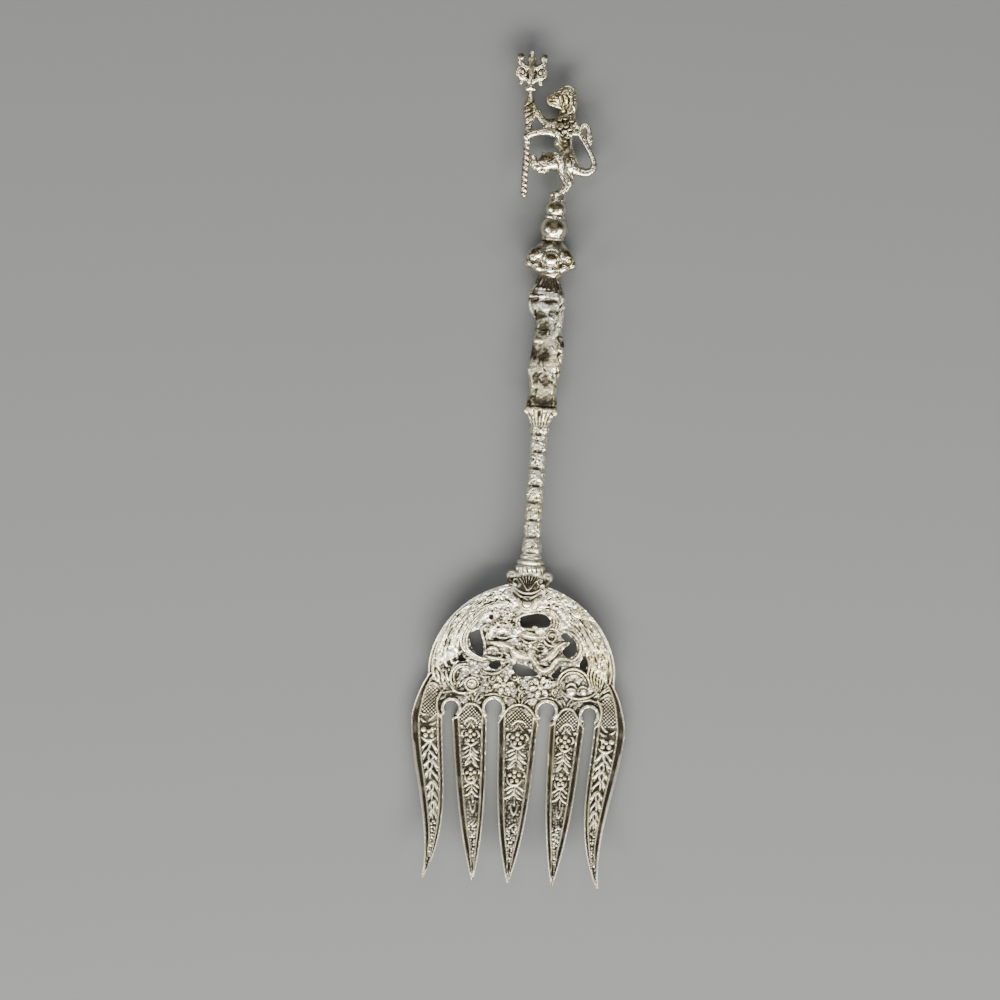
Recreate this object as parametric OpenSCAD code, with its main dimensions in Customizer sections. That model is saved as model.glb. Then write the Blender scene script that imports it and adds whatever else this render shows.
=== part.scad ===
// Serving fork for salad, cast in one piece: five ornamented tines, a pierced and arched plate,
// a knotted stem, a draped figure, a lobed knop, two balls and a lion that holds a crowned staff.
// Drawn lying on its back: Y runs from the tips to the crown, X across, and Z up out of the table.

/* [Size] */
// Length of the whole fork, from the middle tine's tip to the top of the crown
fork_len = 247.45; // [237:0.05:260]

/* [Head] */
// Width of the head across the outer tines
head_w = 64; // [60:0.2:68]
// Length of the tines, from their tips to their shoulders
tine_len = 47; // [42:0.5:52]
// Width of the middle tine at its shoulders
middle_tine_w = 12.1; // [11:0.1:13]
// Width of each inner tine at its shoulders
inner_tine_w = 10.4; // [9.6:0.1:11]
// Gap between the middle tine and an inner one
inner_slot_w = 3.3; // [2.8:0.1:3.8]
// Gap between an inner tine and an outer one
outer_slot_w = 2.9; // [2.4:0.1:3.4]
// Radius of the hole that ends an inner slot
inner_hole_r = 2.35; // [2:0.05:2.6]
// Radius of the hole that ends an outer slot
outer_hole_r = 2; // [1.7:0.05:2.3]
// How far use has bent the inner tines' tips to the right
inner_bend = 1.3; // [0:0.1:2]
// How far use has bent the outer tines' tips to the right
outer_bend = 0.7; // [0:0.1:1.5]
// Width of the arched plate above its notches
arch_w = 55.6; // [53:0.2:57]
// Height of the arch above its widest place
arch_h = 26.7; // [24:0.1:29]

/* [Thickness and relief] */
// Thickness of the plate and of the tines' panels
plate_t = 1.4; // [1.2:0.05:1.8]
// Thickness at the outer edges
edge_t = 0.8; // [0.6:0.05:1]
// Height of the ridges and of the flat ornament
relief_h = 0.55; // [0.4:0.05:0.8]
// Width of the plain bevelled band along an edge
band_w = 1.3; // [0.9:0.05:1.6]
// Width of the ridge between the band and the panel
ridge_w = 0.55; // [0.4:0.05:0.7]
// Width of the raised ring round a slot's hole
ring_w = 1.1; // [0.8:0.05:1.3]

/* [Side profile] */
// Height of the tips above the table
tip_rise = 8; // [4:0.5:12]
// Height of the neck above the table
neck_rise = 6; // [4:0.5:9]
// Height of the head's sides above its middle
side_rise = 2.4; // [1:0.1:4]

/* [Handle] */
// How far the handle stands to the right of the head's middle
handle_x = 0.4; // [-1:0.1:1]
// Radius of the fluted collar
collar_r = 4.35; // [3.8:0.05:5]
// Radius of the stem
stem_r = 2.45; // [2:0.05:3]
// Radius of the leaf calyx under the figure
calyx_r = 4.8; // [4.2:0.1:5.6]
// Height of the draped figure
figure_h = 40.5; // [36:0.5:46]
// Width of the figure across the shoulders
shoulder_w = 11.6; // [10.5:0.1:13]
// Half the width of the lobed knop
knop_r = 7.8; // [7:0.1:9]
// Half the depth of the knop, on which the handle rests
knop_depth = 5.8; // [5:0.1:7]
// Radius of the lower ball
lower_ball_r = 4.3; // [3.8:0.05:4.8]
// Radius of the upper ball
upper_ball_r = 3.3; // [2.9:0.05:3.7]

/* [Lion and staff] */
// Height of the lion from its foot to its crest
lion_h = 33; // [30:0.5:37]
// Thickness of the lion's body from front to back
lion_t = 5.6; // [4.6:0.1:6.6]
// Diameter of the twisted staff
staff_d = 1.8; // [1.5:0.1:2.3]

/* [Hidden] */
SILVER = [0.8, 0.79, 0.76];
CURVE = 8; // sides of the round forms

// Sizes at which the panel's ornament, the figure and the lion were drawn, in millimetres
PANEL_DRAWN = [55.6, 26.7];
FIGURE_DRAWN = [11.6, 40.5];
LION_DRAWN = [33, 5.6];
STAFF_TOP = 42.5;
ROOT = 0.7; // depth to which relief is rooted in the metal under it
ARCH_FULL = 1.87; // how full the arch's outline is, where 2 is an ellipse

// Angles through which the panel's whorls, its crescents and the crown's scrolls turn
WHORL = [-120, 240];
CRESCENT = [-60, 240];
SCROLL = [-90, 260];

// Stations of the head, each from the one before
tip_half = 0.35;
shoulder_y = tine_len;
notch_y = shoulder_y + 13;
arch_y = notch_y + 2;
plate_top_y = arch_y + arch_h;
collar_y = plate_top_y + 3.5;
collar_len = 6;
stem_y = collar_y + collar_len;

// Stations of the handle, each from the one above; the stem takes up what is left
lion_scale = lion_h / LION_DRAWN[0];
crown_top_y = fork_len - tip_half;
foot_y = crown_top_y - STAFF_TOP * lion_scale;
upper_ball_y = foot_y - upper_ball_r - 1.4;
lower_ball_y = upper_ball_y - upper_ball_r - lower_ball_r + 1.7;
knop_len = 9;
knop_y = lower_ball_y - lower_ball_r + 0.3 - knop_len / 2;
figure_y = knop_y - knop_len / 2 - figure_h;
calyx_len = 6.3;
calyx_y = figure_y - calyx_len;
stem_len = calyx_y - stem_y;

// Places of the tines across the head, at their shoulders and at their tips
middle_x = middle_tine_w / 2;
inner_in_x = middle_x + inner_slot_w;
inner_out_x = inner_in_x + inner_tine_w;
outer_in_x = inner_out_x + outer_slot_w;
outer_out_x = head_w / 2 - 0.1;
inner_tip_x = (inner_in_x + inner_out_x) / 2 - 2.75;
outer_tip_x = (outer_in_x + outer_out_x) / 2 - 1.4;
inner_hole = [(middle_x + inner_in_x) / 2 + 0.2, shoulder_y + 3.8];
outer_hole = [(inner_out_x + outer_in_x) / 2 - 0.3, shoulder_y + 3.4];
notch_x = arch_w / 2 - 0.5;
ledge = 0.35; // step between a tine's corner and the slot's narrower neck above it

// Left and right edge of each tine, as curves from the shoulder to the tip
middle_edge = [middle_x, 0.85 * middle_x, 0.84 * middle_x, tip_half];
inner_edges = [
    [inner_in_x, inner_in_x - 0.43, inner_in_x - 0.88, inner_tip_x - tip_half],
    [inner_out_x, inner_out_x - 1.45, inner_out_x - 2.87, inner_tip_x + tip_half]
];
outer_edges = [
    [outer_in_x, outer_in_x - 0.7, outer_in_x - 4.6, outer_tip_x - tip_half],
    [outer_out_x, outer_out_x - 0.2, outer_out_x - 7.9, outer_tip_x + tip_half]
];
function mirrored(edges) = [-edges[1], -edges[0]];
TINES = [
    mirrored(outer_edges), mirrored(inner_edges), [-middle_edge, middle_edge], inner_edges, outer_edges
];
BENDS = [outer_bend, inner_bend, 0, inner_bend, outer_bend];

// Heights of the dished head and of the straight handle above the table
function dish_z(x, y) =
    let (below = (shoulder_y - y) / tine_len,
         above = min(1, (y - shoulder_y) / (collar_y - shoulder_y)))
    (y < shoulder_y ? tip_rise * below * below : neck_rise * (1 - cos(180 * above)) / 2)
        + side_rise * pow(2 * x / head_w, 2);
function axis_z(y) =
    let (start = neck_rise + plate_t / 2)
    start + (knop_depth - start) * (y - collar_y) / (knop_y - collar_y);
function on_dish(p) = [p.x, p.y, p.z + dish_z(p.x, p.y)];

// Curves and directions
function mix(a, b, t) = a * (1 - t) + b * t;
function bezier(p, t) =
    len(p) == 1 ? p[0] : bezier([for (i = [0:len(p) - 2]) mix(p[i], p[i + 1], t)], t);
function unit(v) = v / norm(v);
function flat(p) = [p.x, p.y];
function heading(path, i) =
    unit(flat(path[min(i + 1, len(path) - 1)]) - flat(path[max(i - 1, 0)]));
function middle(ring) = [for (p = ring) 1] * ring / len(ring);
function arc(c, r, from, to, steps) =
    [for (i = [0:steps]) let (a = mix(from, to, i / steps)) c + r * [cos(a), sin(a)]];
function spiral(c, r0, r1, from, to, steps) =
    [for (i = [0:steps]) let (t = i / steps, a = mix(from, to, t)) c + mix(r0, r1, t) * [cos(a), sin(a)]];
function sized(points, w, h) = [for (p = points) [p.x, p.y, w, h]];
function swelling(points, w, h) =
    [for (i = [0:len(points) - 1])
        let (s = sin(180 * (i + 0.6) / (len(points) + 0.2))) [points[i].x, points[i].y, w * s, h * s]];

// A closed skin over rings of points, with a point over each end
module skin(rings, first, last) {
    n = len(rings[0]);
    m = len(rings);
    ends = [is_undef(first) ? middle(rings[0]) : first, is_undef(last) ? middle(rings[m - 1]) : last];
    polyhedron(
        concat([for (r = rings) each r], ends),
        concat(
            [for (i = [0:m - 2], j = [0:n - 1])
                let (a = i * n + j, b = i * n + (j + 1) % n) each [[a, b, a + n], [b, b + n, a + n]]],
            [for (j = [0:n - 1]) [m * n, (j + 1) % n, j]],
            [for (j = [0:n - 1]) [m * n + 1, (m - 1) * n + j, (m - 1) * n + (j + 1) % n]]
        )
    );
}

// An oval ring across a path that runs in the XY plane, rx wide and rz deep
function oval(c, d, rx, rz, sides, turn = 0.5) =
    [for (i = [0:sides - 1]) let (a = 360 * (i + turn) / sides)
        c + [d.y * rx * cos(a), -d.x * rx * cos(a), rz * sin(a)]];

// A rounded limb along points [x, y, z, half width, half depth]
module limb(path, sides = 6) {
    last = len(path) - 1;
    d = [for (i = [0:last]) heading(path, i)];
    c = [for (p = path) [p.x, p.y, p[2]]];
    function out(i, s) = c[i] + s * path[i][3] * [d[i].x, d[i].y, 0];
    skin([for (i = [0:last]) oval(c[i], d[i], path[i][3], path[i][4], sides)], out(0, -0.8), out(last, 0.8));
}

// A raised line on the dished head, along points [x, y, half width, height], rounded or sharp on top
module ridge(path, sharp = false) {
    last = len(path) - 1;
    d = [for (i = [0:last]) heading(path, i)];
    function section(h) = sharp ? [[1, -0.3], [0, h], [-1, -0.3]]
        : [[1, -ROOT], [0.75, 0.7 * h], [0, h], [-0.75, 0.7 * h], [-1, -ROOT]];
    function cut(i) =
        let (c = flat(path[i]), n = path[i][2] * [d[i].y, -d[i].x])
        [for (s = section(path[i][3])) on_dish([c.x + s[0] * n.x, c.y + s[0] * n.y, plate_t + s[1]])];
    function out(i, s) =
        on_dish([path[i].x + s * path[i][2] * d[i].x, path[i].y + s * path[i][2] * d[i].y, plate_t - 0.3]);
    skin([for (i = [0:last]) cut(i)], out(0, -1), out(last, 1));
}

// A bead on the dished head, domed or pointed
module bead(c, r, h, sides = 5, domed = false) {
    sections = domed ? [[1, -ROOT], [0.8, 0.7 * h]] : [[1, -0.3]];
    rings = [for (s = sections)
        [for (i = [sides - 1:-1:0]) let (a = 360 * (i + 0.5) / sides)
            on_dish([c.x + s[0] * r * cos(a), c.y + s[0] * r * sin(a), plate_t + s[1]])]];
    skin(rings, undef, on_dish([c.x, c.y, plate_t + h]));
}

// A flower of round petals about a middle bead
module flower(c, r, petals, h) {
    for (i = [0:petals - 1]) let (a = 360 * i / petals)
        bead(c + r * [cos(a), sin(a)], 0.98 * r * sin(180 / petals), h);
    bead(c, 0.4 * r, 1.2 * h);
}

// Rings round the handle's axis, from points [along, left, right, half depth]
module turned(y, profile, sides = CURVE) {
    skin([for (p = profile)
        let (c = [handle_x + (p[2] - p[1]) / 2, y + p[0], axis_z(y + p[0])])
        oval(c, [0, 1], (p[1] + p[2]) / 2, p[3], sides, 0)]);
}

// Tines
function edge_x(i, side, y) =
    let (s = 1 - y / tine_len) bezier(TINES[i][side], max(0, s)) + BENDS[i] * s;
function band(i, side) = band_w * (i == (side == 0 ? 0 : len(TINES) - 1) ? 1.45 : 1);
function tine_cut(i, y) =
    let (xl = edge_x(i, 0, y), xr = edge_x(i, 1, y), wl = band(i, 0), wr = band(i, 1),
         k = min(1, (xr - xl) / (wl + wr + 3 * ridge_w + 0.3)),
         thin = min(1, 0.65 + y / 25),
         crest = plate_t + 0.6 * relief_h)
    [for (p = [
        [xr, edge_t], [xr - k * wr, crest], [xr - k * (wr + ridge_w), crest],
        [xr - k * (wr + 1.5 * ridge_w), plate_t],
        [xl + k * (wl + 1.5 * ridge_w), plate_t],
        [xl + k * (wl + ridge_w), crest], [xl + k * wl, crest], [xl, edge_t],
        [xl + 0.35 * k, 0], [xr - 0.35 * k, 0]
    ]) on_dish([p.x, y, p.y * thin])];

module tine(i) {
    steps = 9;
    overlap = 0.6;
    rings = [for (k = [0:steps]) tine_cut(i, (tine_len + overlap) * pow(k / steps, 1.4))];
    tip = middle(rings[0]);
    skin(rings, [tip.x, -tip_half, tip.z], undef);
}

// Middle line of a tine's panel
function spine(i, y) =
    [(edge_x(i, 0, y) + band(i, 0) + edge_x(i, 1, y) - band(i, 1)) / 2, y];
function panel_half(i, y) =
    (edge_x(i, 1, y) - edge_x(i, 0, y) - band(i, 0) - band(i, 1)) / 2 - ridge_w;

// A pair of leaves that open from the middle line towards the tip
module leaf_pair(i, y, reach, drop) {
    root = spine(i, y);
    for (side = [-1, 1])
        ridge(swelling([root + [0.3 * side, 0], root + [0.6 * reach * side, -0.25 * drop],
            root + [reach * side, -drop]], 0.75, relief_h), true);
}

// Berries, leaves, berries, leaves, a drop and a curl, from the shoulder to the tip
module tine_ornament(i) {
    for (y = [shoulder_y - 4.8, shoulder_y - 16.8]) {
        c = spine(i, y);
        r = min(1.6, 0.5 * panel_half(i, y));
        flower(c, r, 5, relief_h);
    }
    for (y = [shoulder_y - 8.4, shoulder_y - 11.9, shoulder_y - 21])
        leaf_pair(i, y, 0.78 * panel_half(i, y), 3);
    drop = spine(i, shoulder_y - 27.5);
    ridge(swelling([drop + [0, 2.4], drop, drop - [0, 2.4]], 0.9, relief_h), true);
}

// Leaves in a row down the panel of an outer tine
module tine_vine(i) {
    flower(spine(i, shoulder_y - 4.8), min(1.6, 0.5 * panel_half(i, shoulder_y - 4.8)), 5, relief_h);
    for (k = [0:4]) let (y = shoulder_y - 8 - 4 * k)
        leaf_pair(i, y, 0.72 * panel_half(i, y), 2.7);
}

// Outline of the plate above the tines
shoulder_curve = [for (t = [0:0.25:0.75])
    bezier([[outer_out_x, shoulder_y], [outer_out_x - 1.1, shoulder_y + 7.5], [notch_x, notch_y]], t)];
arch_from = -4;
function fuller(v) = sign(v) * pow(abs(v), 2 / ARCH_FULL);
function around(a, inset) =
    [(arch_w / 2 - inset) * fuller(cos(a)), arch_y + (arch_h - inset) * fuller(sin(a))];
arch_curve = [for (i = [0:9]) around(mix(arch_from, 90, i / 9), 0)];
outline = concat(shoulder_curve, arch_curve, [for (i = [8:-1:0]) [-arch_curve[i].x, arch_curve[i].y]],
    [for (i = [3:-1:0]) [-shoulder_curve[i].x, shoulder_curve[i].y]]);

// Openings pierced in the arch, as drawn, from its widest place up
PIERCINGS = [
    [[-16.2, 10.5], [-15, 11.4], [-13.6, 11.8], [-12.4, 9], [-11.6, 4.3], [-13.3, 4.3], [-15.4, 6.5]],
    [[-1.5, 15.5], [0.5, 17], [2.5, 17.7], [4.5, 17.9], [6.6, 17.2], [7.6, 15.6], [6.6, 14], [0.5, 13.4]],
    [[11.2, 12.2], [12.4, 12.6], [14.2, 11.4], [15.8, 9.4], [15.9, 7], [14, 5.3], [11.8, 6.8], [13.4, 9.8]],
    [[-19.2, 2.3], [-18.6, 4.3], [-17.2, 3.2], [-16.6, 2.5], [-17.6, 2.1]],
    [[-9.9, 1.6], [-8.5, 2.7], [-6.4, 2.5], [-7.3, 0.5], [-8.9, 0.4]],
    [[-2.9, 1.8], [-1.2, 2.6], [2, 1.8], [4.9, -0.4], [3.5, -1], [0, -1.4], [-2, -0.3]],
    [[9, 0], [11.5, 2.8], [12, 2.4], [10.9, -1], [9.6, -1.2]],
    [[17, 3.5], [18.3, 6.3], [19.3, 4.5], [18.8, 2], [17.4, 2.2]]
];
function on_panel(u, v) = [u * arch_w / PANEL_DRAWN[0], arch_y + v * arch_h / PANEL_DRAWN[1]];
function drawn(path) = [for (p = path) let (q = on_panel(p[0], p[1])) [q.x, q.y, p[2], p[3]]];

module keyhole(c, r, x0, x1) {
    translate(c) circle(r, $fn = 12);
    translate([x0, shoulder_y - 2]) square([x1 - x0, c.y - shoulder_y + 2]);
}

module plan() {
    difference() {
        polygon(outline);
        for (side = [0, 1]) mirror([side, 0]) {
            keyhole(inner_hole, inner_hole_r, middle_x - ledge, inner_in_x + ledge);
            keyhole(outer_hole, outer_hole_r, inner_out_x - ledge, outer_in_x + ledge);
        }
        for (p = PIERCINGS) polygon([for (q = p) on_panel(q[0], q[1])]);
        translate(on_panel(-10.2, 15.9)) circle(0.8, $fn = 8);
    }
}

// A slab that follows the dish, between two heights over its back
module dished_slab(z0, z1, half, y0, y1, nx, ny) {
    row = nx + 1;
    layer = row * (ny + 1);
    function quad(a, b, c, d) = [[a, b, c], [a, c, d]];
    polyhedron(
        [for (z = [z0, z1], j = [0:ny], i = [0:nx])
            on_dish([mix(-half, half, i / nx), mix(y0, y1, j / ny), z])],
        concat(
            [for (j = [0:ny - 1], i = [0:nx - 1]) let (a = j * row + i)
                each quad(a, a + 1, a + row + 1, a + row)],
            [for (j = [0:ny - 1], i = [0:nx - 1]) let (a = layer + j * row + i)
                each quad(a, a + row, a + row + 1, a + 1)],
            [for (i = [0:nx - 1]) each quad(i, i + layer, i + layer + 1, i + 1)],
            [for (i = [0:nx - 1]) let (a = ny * row + i)
                each quad(a, a + 1, a + layer + 1, a + layer)],
            [for (j = [0:ny - 1]) let (a = j * row)
                each quad(a, a + row, a + row + layer, a + layer)],
            [for (j = [0:ny - 1]) let (a = j * row + nx)
                each quad(a, a + layer, a + row + layer, a + row)]
        )
    );
}

module plate() {
    intersection() {
        linear_extrude(neck_rise + side_rise + 3 * plate_t) plan();
        dished_slab(0, plate_t, head_w / 2 + 1, shoulder_y - 1.5, plate_top_y + 1, 6, 5);
    }
}

// Border line inside the outer edge, and a raised ring round each hole
module borders() {
    for (side = [-1, 1]) {
        ridge([for (i = [0:6]) let (p = around(mix(arch_from, 66, i / 6), band_w))
            [side * p.x, p.y, 0.5, 0.8 * relief_h]], true);
        for (h = [concat(inner_hole, inner_hole_r), concat(outer_hole, outer_hole_r)])
            ridge(sized(arc([side * h[0], h[1]], h[2] + ring_w / 2 + 0.07, -37, 217, 6),
                ring_w / 2, relief_h));
    }
}

// Plumes that sweep from the neck down both sides of the arch
module plumes() {
    for (side = [-1, 1], k = [0:3]) {
        steps = 4;
        ridge([for (i = [0:steps])
            let (t = i / steps, p = around(mix(64 - 1.5 * k, 3 + 8 * k, t), 3 + 2 * k))
            [side * p.x, p.y, 0.6 + 0.7 * sin(180 * t), relief_h * (0.6 + 0.6 * t)]], true);
    }
}

// Curved frame round the pierced panel
module panel_frame() {
    for (side = [-1, 1])
        ridge(drawn([for (p = [[5, 18.7], [12, 16], [16.5, 11], [17.8, 6], [15, 3.5], [10, 2.8]])
            [side * (p[0] + 0.6), p[1] + 0.2, 0.7, relief_h]]), true);
}

// A child that reclines on a sea beast among scrolls
module sea_scene() {
    bead(on_panel(-7.5, 13.2), 2.5, 1.7, 8, true);
    for (a = [10:55:175]) bead(on_panel(-7.5 + 2.8 * cos(a), 13.8 + 2.6 * sin(a)), 1, 1.2);
    ridge(drawn([[-5.5, 10.8, 1.3, 1.1], [-2, 10.8, 1.8, 1.5], [2, 11, 1.9, 1.4], [5, 10.4, 1.2, 0.9]]));
    ridge(drawn([[-3, 11.8, 0.7, 1.2], [-6, 9.6, 0.7, 1.3], [-10.5, 10.6, 0.7, 1], [-12, 12, 0.5, 0.8]]));
    ridge(drawn([[-12, 7.8, 0.6, 0.7], [-8, 7.6, 0.9, 1.1], [-3, 7.8, 1.1, 1.2], [0.5, 8.8, 1.1, 1.2]]));
    ridge(drawn([
        [-12, 4.6, 0.5, 0.7], [-7.5, 4.6, 1, 1], [-3, 4.9, 1.4, 1.3], [0.6, 5.2, 1.8, 1.5],
        [3.6, 3.2, 1.5, 1.3], [5.8, 0.9, 1.1, 1], [8.2, 1, 0.9, 0.9], [10.5, 3.4, 0.8, 0.8],
        [13, 4.3, 0.8, 0.8], [16, 4, 0.5, 0.6]
    ]));
    ridge(drawn([[4.5, 3.8, 0.7, 0.9], [9, 6.8, 0.8, 1.1], [13.4, 10, 0.5, 0.8]]));
    for (s = [[8.5, 11.5, 2.1, 0.6], [9, 15.6, 1.9, 0.5], [4, 7.6, 2, 0.7]])
        ridge(drawn(sized(spiral([s[0], s[1]], s[2], 0.6, WHORL[0], WHORL[1], 5), s[3] + 0.2, 0.9)), true);
}

// Medallions and flowers along the foot of the arch
module garland() {
    for (m = [[-18, -2.6, 3.6], [15.6, -3.2, 4.1]]) {
        ridge(drawn(sized(arc([m[0], m[1]], m[2], CRESCENT[0], CRESCENT[1], 6), 0.8, 0.9)), true);
        bead(on_panel(m[0] - 0.6, m[1] - 1), 1.7, 1.1, 7, true);
        bead(on_panel(m[0] + 2.4, m[1] - 1.6), 1.3, 1);
    }
    flower(on_panel(-5.1, -4), 1.8, 5, 0.8);
    flower(on_panel(5.9, -4), 1.9, 5, 0.8);
    for (x = [-10, -0.2, 10.6], side = [-1, 1])
        ridge(drawn(swelling([[x, -3], [x + 0.9 * side, -5], [x + 1.9 * side, -6.6]], 0.9, 0.7)), true);
}

module head() {
    for (i = [0:len(TINES) - 1]) tine(i);
    for (i = [1:len(TINES) - 2]) tine_ornament(i);
    for (i = [0, len(TINES) - 1]) tine_vine(i);
    plate();
    borders();
    plumes();
    panel_frame();
    sea_scene();
    garland();
}

// Palmette between scrolled ears, where the plate meets the handle
module neck() {
    y = plate_top_y - 5;
    turned(y, [
        [-3, 2.6, 2.6, 0.9], [0, 5, 5, 1.3], [4, 6, 6, 1.8], [7, 5.6, 5.6, 2], [collar_y - y + 1, 4, 4, 2]
    ]);
    for (side = [-1, 1]) {
        top = axis_z(y + 6);
        limb([for (i = [0:4]) let (a = 250 - 70 * i, r = 1.6 - 0.15 * i)
            [handle_x + side * (5.4 - r * cos(a)), y + 6.6 + r * sin(a), top, 0.8, 1.9]], 4);
        limb([
            [handle_x + side * 0.5, y + 1.5, top + 1, 0.5, 1.2],
            [handle_x + side * 1.8, y + 5, top + 1.4, 0.9, 1.4],
            [handle_x + side * 2.4, y + 7.6, top + 0.8, 0.5, 1]
        ], 5);
    }
    bead([handle_x - 0.4, y - 1], 1.7, 2.2, 7, true);
}

// Fluted ring, plain ring and a neck ring
module collar() {
    flutes = 9;
    skin([for (s = [[-0.4, 0.78], [0.2, 1], [1.4, 1], [1.9, 0.8]])
        [for (k = [0:2 * flutes - 1])
            let (a = 180 * k / flutes, r = s[1] * collar_r * (k % 2 == 0 ? 1 : 0.86))
            [handle_x + r * cos(a), collar_y + s[0], axis_z(collar_y + s[0]) + 0.8 * r * sin(a)]]]);
    turned(collar_y, [
        [1, 3.2, 3.2, 2.7], [1.9, 4.1, 4.1, 3.3], [3.2, 4.1, 4.1, 3.3], [3.6, 3.2, 3.2, 2.8],
        [4.3, 3.5, 3.5, 3], [collar_len, 3, 3, 2.8]
    ]);
}

// Rustic stem, gathered at even knots
module stem() {
    knots = 7;
    pitch = stem_len / knots;
    for (k = [0:knots - 1]) let (y = stem_y + k * pitch, r = stem_r * (1 + 0.18 * pow(1 - k / knots, 2)))
        hull() for (s = [[-0.03, 0.82], [0.25, 1], [0.75, 1], [1.03, 0.82]])
            translate([handle_x, y + s[0] * pitch, axis_z(y)]) rotate([-90, 0, 0])
                cylinder(0.05, r * s[1], r * s[1], center = true, $fn = 8);
}

// Cup of leaves that holds the figure
module calyx() {
    turned(calyx_y, [
        [-0.5, stem_r, stem_r, stem_r], [3, 3.3, 3.5, 3], [calyx_len - 0.4, calyx_r - 0.3, calyx_r, 3.9],
        [calyx_len, calyx_r - 0.9, calyx_r - 0.7, 3.4], [calyx_len + 0.2, 3.4, 3.8, 2.9]
    ]);
}

// Draped figure with its arms drawn in
module figure() {
    kx = shoulder_w / FIGURE_DRAWN[0];
    ky = figure_h / FIGURE_DRAWN[1];
    turned(figure_y, [for (p = [
        [-0.5, 3.9, 4.3, 3], [5.5, 3.8, 4.1, 3.1], [8.5, 4.2, 4.5, 3.3], [11.8, 4.9, 5.3, 3.5],
        [15, 4.1, 5.5, 3.5], [18.5, 3.8, 5.9, 3.4], [23.5, 3.3, 4.5, 2.9], [26.5, 3.4, 4.5, 3.1],
        [31, 5.4, 5.2, 3.5], [33.5, 6.3, 5.1, 3.4], [37.5, 4.4, 3.2, 3], [41.5, 3, 2.8, 2.6]
    ]) [p[0] * ky, p[1] * kx, p[2] * kx, p[3]]]);
    front = axis_z(figure_y + figure_h / 2);
    function at(x, y, z, w, d) = [handle_x + x * kx, figure_y + y * ky, front + z, w, d];
    limb([at(-3.6, 33.3, 2.2, 0.8, 1.2), at(-1, 33.6, 2.9, 0.8, 1.2), at(2, 33.2, 2.7, 0.6, 1)], 5);
    limb([at(-4, 30.6, 2, 0.7, 1), at(-1.2, 29.6, 2.9, 0.9, 1.2), at(1.8, 30.6, 2.6, 0.7, 1)], 5);
    limb([at(4.4, 27, 1.4, 1.1, 1.3), at(3.4, 22.4, 2, 1.2, 1.4), at(0.4, 19.6, 2.8, 1.2, 1.2),
        at(-2.6, 19.4, 2.3, 0.9, 1)], 5);
    limb([at(4.8, 19, 1.2, 1, 1.4), at(4.4, 15, 2, 1.2, 1.5), at(1.6, 12, 2.6, 1, 1.2),
        at(-1.4, 12.8, 2.8, 0.8, 1)], 5);
    limb([at(-3.4, 12.6, 1.6, 0.9, 1.2), at(-2.6, 8, 2.2, 0.8, 1.2), at(-2.2, 3, 2, 0.8, 1.2)], 5);
    limb([at(3.8, 10.5, 1.8, 0.9, 1.2), at(3, 6.5, 2.2, 0.8, 1.2), at(2.4, 2, 2, 0.8, 1.2)], 5);
}

// Lobed knop with a boss in front and behind
module knop() {
    turned(knop_y - knop_len / 2, [
        [-0.5, 2.9, 2.9, 2.6], [1, 0.7 * knop_r, 0.62 * knop_r, 0.7 * knop_depth],
        [3.2, knop_r - 0.1, knop_r - 0.4, knop_depth - 0.2], [4.8, knop_r, knop_r - 0.3, knop_depth],
        [6.6, knop_r - 1.4, knop_r - 1.4, knop_depth - 0.9], [8.2, 4.2, 4, 3.6], [knop_len + 0.3, 3, 2.9, 2.8]
    ]);
    for (side = [-1, 1]) {
        translate([handle_x, knop_y - 0.5, knop_depth + side * (knop_depth - 2)]) sphere(2, $fn = 6);
        for (across = [-1, 1])
            limb([
                [handle_x + across * 2.2, knop_y - 3.4, knop_depth + side * 3.4, 0.7, 1],
                [handle_x + across * 4.4, knop_y - 0.8, knop_depth + side * 3.4, 1.2, 1.4],
                [handle_x + across * 5.6, knop_y + 2, knop_depth + side * 2, 0.7, 1]
            ], 5);
    }
}

module balls() {
    translate([handle_x, lower_ball_y, axis_z(lower_ball_y)]) sphere(lower_ball_r, $fn = 10);
    translate([handle_x + 0.3, upper_ball_y, axis_z(upper_ball_y)]) sphere(upper_ball_r, $fn = 10);
    turned(lower_ball_y - lower_ball_r - 1, [[0, 2.9, 2.9, 2.8], [2.2, 2.7, 2.7, 2.6]]);
    turned(upper_ball_y - 0.5, [
        [0, 2.2, 2.8, 2.5], [upper_ball_r, 2, 2.6, 2.3], [upper_ball_r + 1.9, 2, 3.2, 2.3]
    ]);
}

module handle() {
    neck();
    collar();
    stem();
    calyx();
    figure();
    knop();
    balls();
}

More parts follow.
